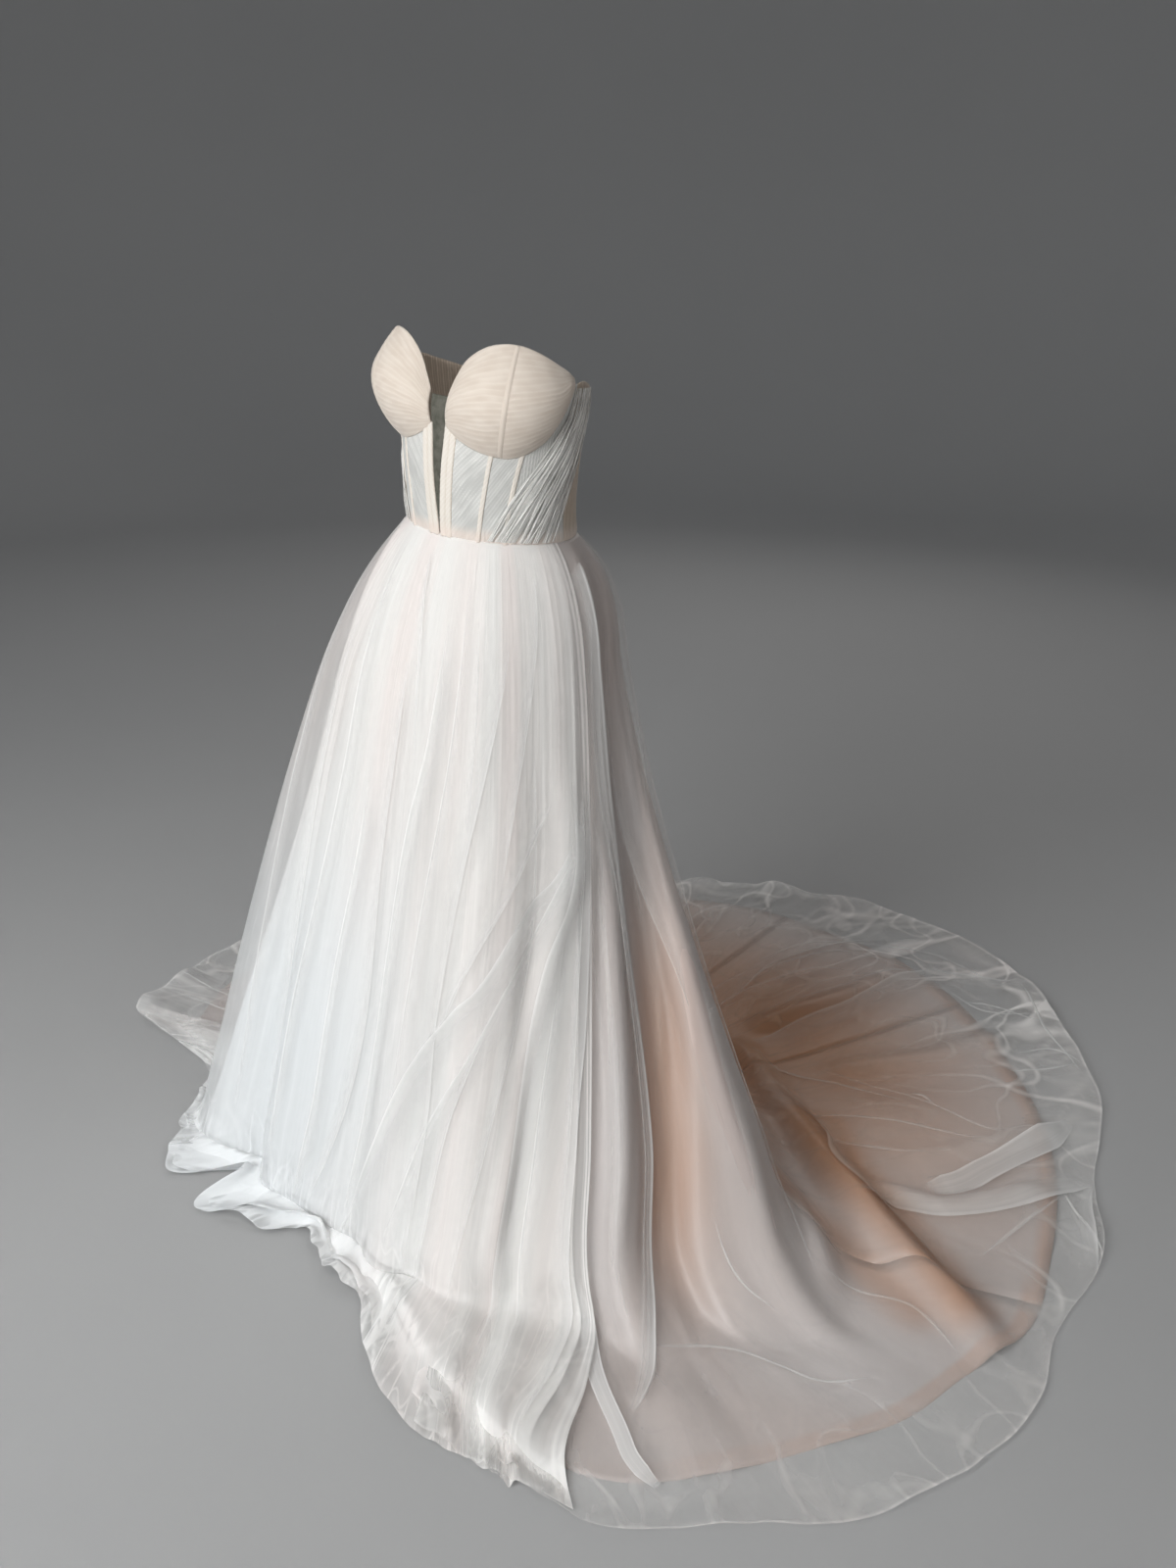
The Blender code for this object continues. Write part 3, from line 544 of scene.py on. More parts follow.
def insertFinish():
    look = Cloth("darkNet", 0.8, Specular_IOR_Level=0.2)
    cells = look.start.node("TexVoronoi", {"feature": "DISTANCE_TO_EDGE"},
                            {"Vector": look.cut, "Scale": 620.0})
    thread = 1.0 - cells.between(0.04, 0.16)
    drift = look.grain(90.0, 2.0)
    look.send("Base Color", drift.between(0.3, 0.7).blend(tone(0.10, 0.10, 0.08), tone(0.16, 0.155, 0.13)))
    look.send("Alpha", 0.86 + 0.14 * thread)
    look.relief(thread, 0.0004, 0.6)
    return look.material


def metalFinish():
    look = Cloth("zipEnamel", 0.35, Specular_IOR_Level=0.5)
    worn = look.grain(900.0, 3.0)
    look.send("Base Color", worn.between(0.55, 0.75).blend(tone(0.84, 0.80, 0.74), tone(0.70, 0.66, 0.60)))
    look.relief(worn, 0.0001, 0.3)
    return look.material


finishes = {  # a net's name, blush, streaks and creases across; a sheer's name, two tones and least cover
    "satin": satinFinish(),
    "frontTop": tulleFinish("tulleTop", 0.7, 0.10, 12.0),
    "frontUnder": tulleFinish("tulleUnder", 0.9, 0.0, 9.0),
    "sideNet": tulleFinish("tulleSingle", 0.5, 0.30, 14.0),
    "sheer": sheerFinish("pleatedSheer", tone(0.58, 0.575, 0.55), tone(0.83, 0.82, 0.785)),
    # the back panels' sheer is the same cloth in darker, browner tones: painted shade
    "shadedBackSheer": sheerFinish("pleatedBackShaded", tone(0.52, 0.42, 0.33), tone(0.78, 0.68, 0.58)),
    "drape": sheerFinish("drapedStrands", tone(0.74, 0.73, 0.70), tone(0.92, 0.90, 0.86), 0.26),
    "cup": sheerFinish("pleatedCup", tone(0.70, 0.60, 0.51), tone(0.80, 0.71, 0.62), 1.0),
    "tape": sheerFinish("tapeUnderNet", tone(0.72, 0.64, 0.55), tone(0.86, 0.81, 0.74), 1.0),
    "casing": casingFinish(),
    "insert": insertFinish(),
    "metal": metalFinish(),
}
print("finishes made")


def waistRadius(angle):
    a = np.radians(angle)
    wide, front, back = bodiceRings[0, 1:]
    deep = np.where(np.sin(a) < 0, front, back)
    return 1 / np.hypot(np.cos(a) / wide, np.sin(a) / deep)


bridged = {"angle": 280, "half": 110, "share": 0.75}  # the front's many layers bridge its folds


def foldsAt(angle, drop):
    # how far the folds stand out at a drop, a little from the seam on and most at the floor
    down = drop / -floorLevel
    total = np.zeros_like(angle)
    for centre, half, rise in folds:
        total += rise * bump(turnOff(angle, centre) / (half * (1.25 - 0.25 * down)))
    total *= 1 - bridged["share"] * bump(turnOff(angle, bridged["angle"]) / bridged["half"])
    return total * (0.12 * min(drop / 0.05, 1) + 0.88 * down**1.1) if drop else total * 0


def satinPlan(angle):
    # radius, height and direction of the satin's inside for each row, one column for each angle at the waist
    toFloor, toHem = smoothRound(fan, angle, 1), smoothRound(fan, angle, 2)
    waist = waistRadius(angle)
    touch = smoothRound(hems, angle + toFloor, 1)
    left = bump(turnOff(angle, 22) / 35)
    front = (1 - left) * (0.5 + 0.5 * np.cos(np.radians(angle + 110)))
    rows = []
    for drop, atFront, atBack, atLeft, _ in skirtRows:
        share = atFront * front + atLeft * left + atBack * (1 - front - left)
        rows.append((waist + (touch - waist) * share + foldsAt(angle, drop), np.full_like(angle, -drop),
                     angle + toFloor * drop / skirtRows[-1, 0]))
    lift = foldsAt(angle, -floorLevel)
    down = touch + lift
    hem = np.maximum(smoothRound(hems, angle + toHem, 2), down + 0.014)
    for share, offFloor, _ in floorRows:
        crease = 0.34 * np.maximum(lift, 0) * (1 - share) ** 0.7 * min(share * 4, 1)
        rows.append((down + (hem - down) * share, floorLevel + offFloor + crease,
                     angle + toFloor + (toHem - toFloor) * share))
    return np.array(rows)


def grown(plan, by):
    # the same plan, moved outwards by so much at each row, or at each row and column
    radius, height, turn = plan[:, 0], plan[:, 1], plan[:, 2]
    along = np.stack([np.gradient(radius, axis=0), np.gradient(height, axis=0)])
    along /= np.maximum(np.linalg.norm(along, axis=0), 1e-9)
    off = np.stack([-along[1], along[0]])
    off[:, 0] = np.stack([np.ones_like(radius[0]), np.zeros_like(radius[0])])
    by = np.reshape(by, (len(radius), -1))
    return np.stack([radius + off[0] * by, height + off[1] * by, turn], axis=1)


def pastHem(plan, angle, reach=1.0):
    # the tulle's rows beyond the satin's hem; reach is the share of the whole hem that this net has
    radius, _, turn = plan[-1]
    radius = radius + 0.004
    plan[-1, 0] = radius
    hem = np.maximum(smoothRound(hems, turn, 3), radius + 0.035)
    hem = radius + (hem - radius) * reach
    step = np.minimum(0.035, 0.6 * (hem - radius))
    last = floorLevel + 0.0012
    return np.concatenate([plan, [[radius + step, np.full_like(angle, last), turn],
                                  [hem, np.full_like(angle, last + 0.003), turn]]])


def finer(plan, steps):
    # points along each column of a plan, steps[k] of them between rows k and k + 1, on a soft curve
    radius, height, turn = plan[:, 0], plan[:, 1], np.radians(plan[:, 2])
    rows = np.stack([radius * np.cos(turn), radius * np.sin(turn), height], axis=-1)
    long = np.maximum(np.linalg.norm(np.diff(rows, axis=0), axis=-1, keepdims=True), 1e-6)
    rate = np.diff(rows, axis=0) / long
    inner = (rate[:-1] * long[1:] + rate[1:] * long[:-1]) / (long[1:] + long[:-1])
    slope = np.concatenate([rate[:1], inner, rate[-1:]])
    made, down = [], []
    for k, count in enumerate(steps):
        for n in range(count + (k == len(steps) - 1)):
            made.append(curve(n / count, rows[k], rows[k + 1], long[k], slope[k], slope[k + 1]))
            down.append(k + n / count)
    return np.array(made), np.array(down)[:, None]


def lengthDown(points):
    steps = np.linalg.norm(np.diff(points, axis=0), axis=-1)
    return np.concatenate([np.zeros((1, points.shape[1])), np.cumsum(steps, axis=0)])


def nearLine(points, line):
    # how far each point is from a line on the floor, and how far along that line it is
    best, along = np.full(points.shape[:2], 9.0), np.zeros(points.shape[:2])
    total = sum(math.dist(a, b) for a, b in zip(line, line[1:]))
    done = 0.0
    for a, b in zip(line, line[1:]):
        a, b = np.array(a), np.array(b)
        d = b - a
        t = np.clip(((points[..., :2] - a) @ d) / (d @ d), 0, 1)
        away = np.linalg.norm(points[..., :2] - a - t[..., None] * d, axis=-1)
        share = (done + t * np.linalg.norm(d)) / total
        along = np.where(away < best, share, along)
        best = np.minimum(best, away)
        done += np.linalg.norm(d)
    return best, along


floorRidges = [  # line on the floor, half width, height, share of the height that the satin has too
    ([(0.17, 0.55), (0.40, 0.37), (0.57, 0.26), (0.70, 0.17), (0.82, 0.10), (0.95, 0.04), (1.04, -0.01)],
     0.055, 0.038, 1.0),
    ([(0.40, 0.24), (0.52, 0.16), (0.64, 0.06), (0.74, -0.04)], 0.035, 0.016, 0.9),
    ([(0.66, 0.33), (0.77, 0.47), (0.88, 0.65)], 0.035, 0.012, 0.2),
    ([(0.62, 0.24), (0.78, 0.28), (0.93, 0.46)], 0.030, 0.012, 0.2),
    ([(0.42, 0.50), (0.60, 0.72), (0.70, 0.92)], 0.055, 0.018, 1.0),
    ([(0.20, 0.52), (0.34, 0.80), (0.40, 1.02)], 0.050, 0.020, 1.0),
    ([(-0.05, 0.50), (-0.08, 0.74), (-0.10, 0.92)], 0.055, 0.020, 1.0),
    ([(-0.28, 0.44), (-0.42, 0.64), (-0.50, 0.74)], 0.050, 0.018, 1.0),
    ([(-0.46, 0.18), (-0.62, 0.26), (-0.78, 0.30)], 0.045, 0.018, 1.0),
]


def floorRelief(points, satinOnly):
    # how high the ridges lift each point that lies on the floor
    total = np.zeros(points.shape[:2])
    onFloor = ramp(points[..., 2], floorLevel + 0.16, floorLevel + 0.05)
    for line, half, high, share in floorRidges:
        away, along = nearLine(points, line)
        ends = ramp(along, 0.0, 0.15) * ramp(along, 1.0, 0.8)
        total += high * (share if satinOnly else 1.0) * bump(away / half) * ends
    return total * onFloor


satinGores = {  # node, first and last angle
    "lining_front": (246, 294), "lining_side_front_left": (294, 336), "lining_side_left": (-24, 36),
    "lining_side_back_left": (36, 66), "lining_back_left": (66, 90), "lining_back_right": (90, 120),
    "lining_side_back_right": (120, 150), "lining_side_right": (150, 198),
    "lining_side_front_right": (198, 246)}
satinSteps = [2, 3, 4, 6, 9, 11, 11, 9, 9, 12, 14]  # rows of the mesh between the rows of the plan

hollows = [  # line on the floor where the cloth lies deepest, half width, how strong the painted shade is there
    ([(0.46, 0.14), (0.66, 0.10), (0.84, 0.02)], 0.07, 0.45),
    ([(0.50, 0.34), (0.60, 0.26), (0.70, 0.20), (0.80, 0.14), (0.90, 0.07)], 0.085, 0.75)]
# where painted shade runs down the satin's valley: lengths down the cloth, angles, half width
valleyLine = {"long": (0.2, 0.6, 0.95, 1.16), "angle": (24, 20, 16.5, 15.0), "half": 9}
hangingShade = 0.62  # how strong the painted shade is on the skirt's hanging cloth, against 1 on the floor behind it


def shadeOf(points, angle, long):
    # painted shade, as a share of warm brown in the cloth's colour: in the hollow of the train, behind the wearer's
    # left side and in its valley
    x, y, z = points[..., 0], points[..., 1], points[..., 2]
    direction = np.degrees(np.arctan2(y, x))
    train = bump((direction - 66) / 72) * ramp(np.hypot(x, y), 1.12, 0.66) * ramp(z, -0.85, -1.06)
    body = bump(turnOff(angle, 66) / 42) * ramp(z, -1.12, -0.60) * hangingShade
    valley = bump((angle - np.interp(long, valleyLine["long"], valleyLine["angle"])) / valleyLine["half"])
    valley = valley * ramp(long, 0.45, 0.90) * ramp(long, 1.36, 1.05) * hangingShade
    deep = np.maximum(*(bump(nearLine(points, line)[0] / half) * share for line, half, share in hollows))
    return np.clip(train + body + valley + deep * ramp(z, -1.02, -1.08), 0, 1)


satinFolds = [  # half width, height, then the line down the cloth as length and angle
    (0.045, 0.016, [(0.60, 25.0), (0.95, 26.0), (1.15, 28.0), (1.40, 27.0)]),
    (0.040, -0.018, [(0.40, 22.0), (0.70, 20.0), (0.95, 17.0), (1.20, 15.5), (1.40, 15.0)]),
    (0.030, 0.010, [(0.45, 6.0), (0.85, 5.0), (1.15, 3.0)]),
    (0.020, 0.009, [(1.10, -11.0), (1.30, -4.0), (1.48, 1.0)]),
    (0.016, -0.004, [(0.10, 13.0), (0.40, 16.0), (0.80, 21.0)]),
    (0.012, 0.003, [(0.06, 20.0), (0.35, 22.0), (0.70, 24.0)]),
    (0.010, -0.003, [(0.05, 30.0), (0.40, 31.0), (0.80, 33.0)]),
]


def folded(points, angle, long, lines):
    # folds listed down the cloth: how far each point is moved out
    radius, total = np.hypot(points[..., 0], points[..., 1]), np.zeros(long.shape)
    for half, high, line in lines:
        down, place = zip(*line)
        away = turnOff(angle, np.interp(long, down, place))
        ends = ramp(long, down[0] - 0.02, down[0] + 0.15) * ramp(long, down[-1] + 0.06, down[-1] - 0.08)
        total += high * bump(np.radians(away) * radius / half) * ends
    return total


satinForm = {"step": 0.8, "swell": 0.0045, "wrinkle": 0.0026, "thick": 0.0012, "hem": (0.030, 0.026)}
perAngle = 0.0105  # metres on the cut cloth of the skirt for each degree
pastEdge = 2  # columns worked out past a gore's edges, so that its folds run on into the next, then cut off


def buildSatin():
    for node, (first, last) in satinGores.items():
        step = (last - first) / round((last - first) / satinForm["step"])
        angle = np.arange(-pastEdge, round((last - first) / step) + pastEdge + 1) * step + first
        points, _ = finer(satinPlan(angle), satinSteps)
        long = lengthDown(points)
        soft = satinForm["swell"] * wander(angle / 7 + 3, long * 1.6, 11)
        soft = soft + satinForm["wrinkle"] * wander(angle / 2.6, long * 2.6, 12)
        move = soft * ramp(long, 0.05, 0.5) + 0.0010 + folded(points, angle, long, satinFolds)
        points = points + normalsOf(points) * move[..., None]
        points[..., 2] += floorRelief(points, True)
        points[..., 2] = np.maximum(points[..., 2], floorLevel + 0.0006)
        # painted shade from the hollows, and more of it in a band along the doubled hem, most towards the train
        hemBand = ramp(long, *(long[-1] - away for away in satinForm["hem"])) * bump((angle - 45) / 60)
        shade = np.clip(shadeOf(points, angle, long) + 0.45 * hemBand, 0, 1)
        keep = slice(pastEdge, -pastEdge)
        points, angle, long, shade = points[:, keep], angle[keep], long[:, keep], shade[:, keep]
        piece = layCloth(node + "_satin", points, finishes["satin"], satinForm["thick"], {"shade": shade},
                         (angle * perAngle, long))
        wear(piece, "satin", node)
        hang(piece, points, "hung")


gatherSizes = [  # degrees across one gather, metres down, height, where it is full, where it has gone
    (14.0, 0.90, 0.0045, 0.60, 9.0), (6.3, 0.60, 0.0011, 0.30, 9.0),
    (2.8, 0.45, 0.0004, 0.05, 0.7), (1.4, 0.25, 0.0004, 0.02, 0.3)]


def gathers(angle, long, seed):
    # how far the gathers move each point out, and how much they thicken the net
    total, lines = np.zeros(long.shape), np.zeros(long.shape)
    for n, (across, down, high, full, gone) in enumerate(gatherSizes):
        slide = 0.7 * wander(angle / 31, long * 1.1, seed + 40 + n)
        swell = wander(angle / across + slide, long / down + n * 7.3, seed + n)
        grow = ramp(long, 0.0, full) * (0.15 + 0.85 * ramp(long, gone + 0.6, gone))
        total += high * (swell - 0.2 if n < 2 else 1.6 * (1 - np.abs(swell)) ** 2 - 0.6) * grow
        lines += (1 - np.abs(swell)) ** (6 + 3 * n) * (0.20, 0.22, 0.20, 0.14)[n] * grow
    mask = ramp(wander(angle / 9, long * 1.4, seed + 60), -0.5, 0.5)
    return total, lines * (0.35 + 0.65 * mask)


creaseSets = [  # turn of the creases from straight outwards, metres between them, their length, height
    (0, 0.075, 0.55, 0.0040), (17, 0.055, 0.38, 0.0026), (-23, 0.050, 0.34, 0.0030),
    (47, 0.060, 0.26, 0.0035), (-62, 0.070, 0.24, 0.0030), (86, 0.080, 0.30, 0.0030)]
heaped = np.array([  # direction, how heaped and creased the net lies there
    (-180, 0.70), (-160, 1.0), (-60, 1.0), (-48, 0.6), (-36, 0.40), (-10, 0.36), (20, 0.60),
    (45, 0.95), (80, 1.0), (120, 0.90), (180, 0.70)])


def crumple(points, seed, size):
    # the crossing creases of net that has been dropped on the floor, most of them straight out from the body
    x, y = points[..., 0], points[..., 1]
    radius, arc = np.hypot(x, y), np.arctan2(y, x) * 0.8
    rise, sharp = np.zeros(x.shape), np.zeros(x.shape)
    for n, (turn, across, along, high) in enumerate(creaseSets):
        c, s = math.cos(math.radians(turn)), math.sin(math.radians(turn))
        bend = 0.9 * wander(x / 0.22 + n, y / 0.22, seed + n)
        line = 1 - np.abs(wander((arc * c + radius * s) / across / size + bend,
                                 (radius * c - arc * s) / along, seed + 10 + n))
        rise += high * line**3
        sharp = np.maximum(sharp, line ** (9 if size == 1 else 6) * (1 - 0.10 * n))
    return rise, sharp


netLook = {  # how much it hides where it hangs, where it lies, in a gather, in a crease and at its cut edge
    "frontTop": (0.38, 0.62, 0.38, 0.85, 0.75), "frontUnder": (1.00, 0.95, 0.3, 0.65, 0.70),
    "sideNet": (0.16, 0.11, 0.7, 0.65, 0.60)}
netForm = {
    "away": {"by": 0.026, "angle": 222, "half": 34, "down": 1.12},  # the outermost net, at the wearer's right
    "hug": (0.3, 193, 208),  # least share of its lift at its edge there, where it lies against the next net
    "floorCrease": {"sideNet": 0.30, "hem": 0.35, "front": 0.07}, "floorSwell": 0.009, "hemWave": 0.012,
    "hemLift": {"sideNet": (0.022, 4.1), "front": (0.018, 6.5)},  # height, degrees across one wave
    "turned": {"wide": 0.018, "pleat": 0.009, "hides": 0.45}}  # the cut edge, folded under in narrow pleats


def swept(angle, long):
    # the front's lower folds sweep away from the overlay's edge towards the wearer's right
    return angle + 20 * ramp(long, 0.45, 1.25) * bump((angle - 338) / 52)


def netPlan(angle, rise, reach):
    # the satin's plan, lifted off it by the tulle's own height and, for the front's nets, by rise more
    lift = np.concatenate([skirtRows[:, -1], floorRows[:, -1]])
    own = np.concatenate([np.minimum(skirtRows[:, 0] / 0.30, 1), [0.5, 0.3, 0.3]]) * rise
    least, low, high = netForm["hug"]
    hugging = least + (1 - least) * ramp(angle, low, high) if rise else 1 + 0 * angle
    return pastHem(grown(satinPlan(angle), lift[:, None] + own[:, None] * hugging), angle, reach)


def netRelief(points, angle, long, seed, single, floorShare, heap):
    # how far gathers and creases move each point out, how they thicken the net and where it is creased
    onFloor, pastSatin = floorShare
    move, dense = gathers(swept(angle, long), long, seed)
    move = move * (1 - 0.85 * onFloor) * np.minimum(0.9, 0.3 + long * 6)
    puff, sharp = crumple(points, seed + 20, 1.5 if single else 1.0)
    crease = netForm["floorCrease"]
    share = (crease["sideNet"] + crease["hem"] * pastSatin) if single else crease["front"]
    move += onFloor * puff * heap * share
    swell = wander(angle / 9 + 0.8 * wander(angle / 17, long * 3, 51), long * 5, 50)
    return move + netForm["floorSwell"] * (not single) * onFloor * swell, dense, sharp


def netStand(angle, long):
    # how far the outermost net stands away from the one under it
    away = netForm["away"]
    stand = away["by"] * bump((angle - away["angle"]) / away["half"])
    return stand * np.sin(np.pi * np.clip(long / away["down"], 0, 1)) ** 1.3


def netHem(points, turn, angle, share, down, seed, single, heap):
    # the hem's own waves, in and out and up off the floor
    wave = wander(angle / 6.0, angle * 0, seed + 31) + 0.35 * wander(angle / 2.4, angle * 0, seed + 32)
    radial = np.stack([np.cos(turn), np.sin(turn), angle * 0], axis=-1)
    points = points + radial * (netForm["hemWave"] * wave * share * (0.4 + 0.6 * heap))[..., None]
    high, across = netForm["hemLift"]["sideNet" if single else "front"]
    lifted = high * np.clip(wander(angle / across, down * 0.25, seed + 33), 0, 1) * share * heap
    points[..., 2] += lifted + floorRelief(points, False)
    return points


def netShape(first, last, step, steps, rise, seed, finish, reach=1.0, folds=(), edge=None):
    # a net between two angles: its points, and how much it hides and how it is toned at each
    angle = np.linspace(first, last, round((last - first) / step) + 1)
    single = finish == "sideNet"
    plan = netPlan(angle, rise, reach)
    points, down = finer(plan, steps)
    hemStart = len(skirtRows) + len(floorRows) - 1
    long = lengthDown(points)
    pastSatin = ramp(down, hemStart - 0.6, hemStart + 0.4)
    onFloor = ramp(points[..., 2], floorLevel + 0.12, floorLevel + 0.02)
    direction = np.degrees(np.arctan2(points[..., 1], points[..., 0]))
    heap = smooth(heaped, direction, 1)
    flow = swept(angle, long)
    move, dense, sharp = netRelief(points, angle, long, seed, single, (onFloor, pastSatin), heap)
    move = move + folded(points, angle, long, folds) + (rise > 0.01) * netStand(angle, long)
    points = points + normalsOf(points) * move[..., None]
    share = ramp(down, hemStart, hemStart + 2)
    points = netHem(points, np.radians(plan[-1, 2]), angle, share, down, seed, single, heap)
    points[..., 2] = np.maximum(points[..., 2], floorLevel + 0.0015 + 0.08 * min(rise, 0.03))
    hanging, lying, gather, crease, rim = netLook[finish]
    cover = hanging + (lying + 0.15 * heap * (not single) - hanging) * onFloor * pastSatin
    cover = cover * (1 - 0.50 * (not single) * ramp(down, hemStart + 0.9, hemStart + 1.9))
    cover = cover + gather * dense * (1 - 0.6 * onFloor)
    cover = cover + crease * sharp * onFloor * heap * (0.12 + 0.48 * pastSatin)
    cover = np.maximum(cover, rim * ramp(down, hemStart + 1.90, hemStart + 1.98))
    if edge:
        turned = netForm["turned"]
        away = np.radians(edge - angle) * np.hypot(points[..., 0], points[..., 1])
        pleats = 0.55 + 0.45 * np.cos(away * math.tau / turned["pleat"])
        cover = cover + turned["hides"] * ramp(away, turned["wide"], turned["wide"] - 0.004) * pleats
    # painted cool light, low on the wearer's right front
    paintedCoolLight = np.clip(bump((direction + 118) / 75) * ramp(points[..., 2], -0.2, -0.9), 0, 1)
    blush = 0.5 + 0.8 * wander(flow / 8, long * 0.8, 71) + 0.35 * wander(flow / 2.6, long * 1.1, seed)
    creased = onFloor * heap * (0.35 + 0.65 * pastSatin) * (0.6 + 0.4 * wander(angle / 11, long * 4, seed))
    # these layers carry painted shade and painted cool light into the net's colour
    layers = {"cover": np.clip(cover, 0, 1), "shade": shadeOf(points, angle, long) * 0.85, "paintedCoolLight": paintedCoolLight * 0.8,
              "creased": creased, "blush": np.clip(blush, 0, 1) * (1 - paintedCoolLight)}
    return {"angle": angle, "long": long, "points": points, "finish": finish, "layers": layers,
            "cut": (flow * perAngle, long)}


netFullness = 1.3  # the finest gathers take up so many times the width


def layNet(name, net, first, last, nodes):
    # the part of a net between two angles as a piece
    step = net["angle"][1] - net["angle"][0]
    keep = slice(round((first - net["angle"][0]) / step), round((last - net["angle"][0]) / step) + 1)
    size = net["points"].shape[:2]
    points = net["points"][:, keep]
    layers = {key: np.broadcast_to(values, size)[:, keep] for key, values in net["layers"].items()}
    cut = [np.broadcast_to(values, size)[:, keep] for values in net["cut"]]
    piece = layCloth(name, points, finishes[net["finish"]], 0.0, layers, cut)
    wear(piece, "tulle", *nodes)
    hang(piece, points, "gathered", netFullness)


def onNet(net, long, angle):
    # places and outward directions on a net at lengths down it and angles
    step = net["angle"][1] - net["angle"][0]
    column = np.clip((angle - net["angle"][0]) / step, 0, len(net["angle"]) - 1.001)
    low = np.floor(column).astype(int)
    places = np.zeros(long.shape + (6,))
    for add in (0, 1):
        c = low + add
        row = np.array([np.interp(a, net["long"][:, b], np.arange(len(net["long"]))) for a, b in
                        zip(long.ravel(), c.ravel())]).reshape(long.shape)
        top = np.clip(np.floor(row).astype(int), 0, len(net["long"]) - 2)
        part = (row - top)[..., None]
        share = np.where(add, column - low, 1 - column + low)[..., None]
        places += share * (net["both"][top, c] * (1 - part) + net["both"][top + 1, c] * part)
    return places[..., :3], places[..., 3:]


lapLook = {"thin": 0.012, "rim": 0.25, "long": 0.8}  # thin: the width under which a lap is a crease only


def ribbon(net, line, left, right, lift, cover):
    # a strip of the net doubled over itself: its cut runs along the line, from left to right of it in metres
    table = np.array([(n,) + tuple(pair) for n, pair in enumerate(line)], float)
    rows = max(10, round(18 * (len(line) - 1)))
    t = np.linspace(0, len(line) - 1, rows + 1)
    long, angle = smooth(table, t, 1), smooth(table, t, 2)
    middle, _ = onNet(net, long, angle)
    beside, _ = onNet(net, long, angle - 0.5)
    perDegree = np.maximum(np.linalg.norm(beside - middle, axis=-1) / 0.5, 1e-4)
    alongLong, alongAngle = np.gradient(long), np.gradient(angle) * perDegree
    size = np.maximum(np.hypot(alongLong, alongAngle), 1e-9)
    alongLong, alongAngle = alongLong / size, alongAngle / size
    columns = 2 if right - left < lapLook["thin"] else 8
    across = np.linspace(0, 1, columns + 1)[None, :]
    ends = np.clip(np.minimum(t, t[-1] - t) / 0.6, 0, 1)[:, None]
    off = (left + (right - left) * across) * (0.35 + 0.65 * ends)
    points, out = onNet(net, long[:, None] - off * alongAngle[:, None],
                        angle[:, None] + off * (alongLong / perDegree)[:, None])
    sharpLeft = abs(left) < abs(right)  # its fold is on the side that lies nearer the line
    shape = np.where(sharpLeft, 1 - 0.8 * across, 0.2 + 0.8 * across)
    fadeOut = np.where(sharpLeft, 1 - across, across)
    if columns == 2:
        shape = 0.3 + 0.7 * np.sin(np.pi * across)
    if abs(abs(left) - abs(right)) < 1e-6:
        fadeOut = 0 * across + 1
    points = points + out * (lift * shape + 0.0005 + 0 * off)[..., None]
    rim = np.clip(1 - np.minimum(across, 1 - across) / 0.10, 0, 1) * (columns > 2) * (fadeOut > 0.5)
    hide = np.clip(cover * fadeOut**0.8 + lapLook["rim"] * rim, 0, 1) * ends**0.5
    return points, np.broadcast_to(hide, points.shape[:2]), long


def layRibbons(name, net, finish, ribbons):
    # all the laps of a net as one piece
    strips = []
    for n, (left, right, lift, cover, line) in enumerate(ribbons):
        points, hide, long = ribbon(net, line, left, right, lift, cover)
        points[..., 2] = np.maximum(points[..., 2], floorLevel + 0.003)
        flat = np.zeros(points.shape[:2])
        angle = flat + np.mean([place for _, place in line])
        # the laps take a weaker painted shade
        shade = shadeOf(points, angle, long[:, None] + flat) * 0.6
        # the laps take a little painted cool light all over
        layers = {"cover": hide, "shade": shade, "paintedCoolLight": flat + 0.25, "blush": flat + 0.1, "creased": flat}
        cut = (flat + np.linspace(0, 0.05, points.shape[1])[None, :] + n * 0.37, flat + long[:, None])
        strips.append((layCloth(f"{name}_{n}", points, finishes[finish], 0.0, layers, cut), points))
    hangStrips(name, strips, "tulle", "folded", lapLook["long"])


overlayNodes = ["tulle_front_right", "tulle_front", "tulle_front_left"]
sideNets = [  # node, first and last angle
    ("tulle_side_left", -48, 36), ("tulle_back_left", 36, 90), ("tulle_back_right", 90, 150),
    ("tulle_side_right", 150, 228)]
netSteps = [2, 4, 5, 8, 12, 16, 16, 12, 10, 12, 12, 6, 14]  # rows of the mesh between the rows of the plan
trainSteps = [2, 4, 5, 8, 10, 14, 14, 12, 12, 24, 24, 6, 16]
frontFolds = [  # broad soft folds: half width, height, then the line down the cloth as length and angle
    (0.045, 0.006, [(0.30, 345), (0.52, 347), (0.66, 337), (0.81, 329), (1.10, 322)]),
    (0.040, 0.005, [(0.10, 279), (0.45, 284), (0.80, 281), (1.10, 278)]),
    (0.040, -0.004, [(0.40, 308), (0.55, 304), (0.74, 301), (0.93, 300)]),
    (0.050, 0.005, [(0.12, 240), (0.60, 243), (1.15, 246)]),
    (0.034, -0.004, [(0.35, 264), (0.70, 265), (1.10, 262)])]
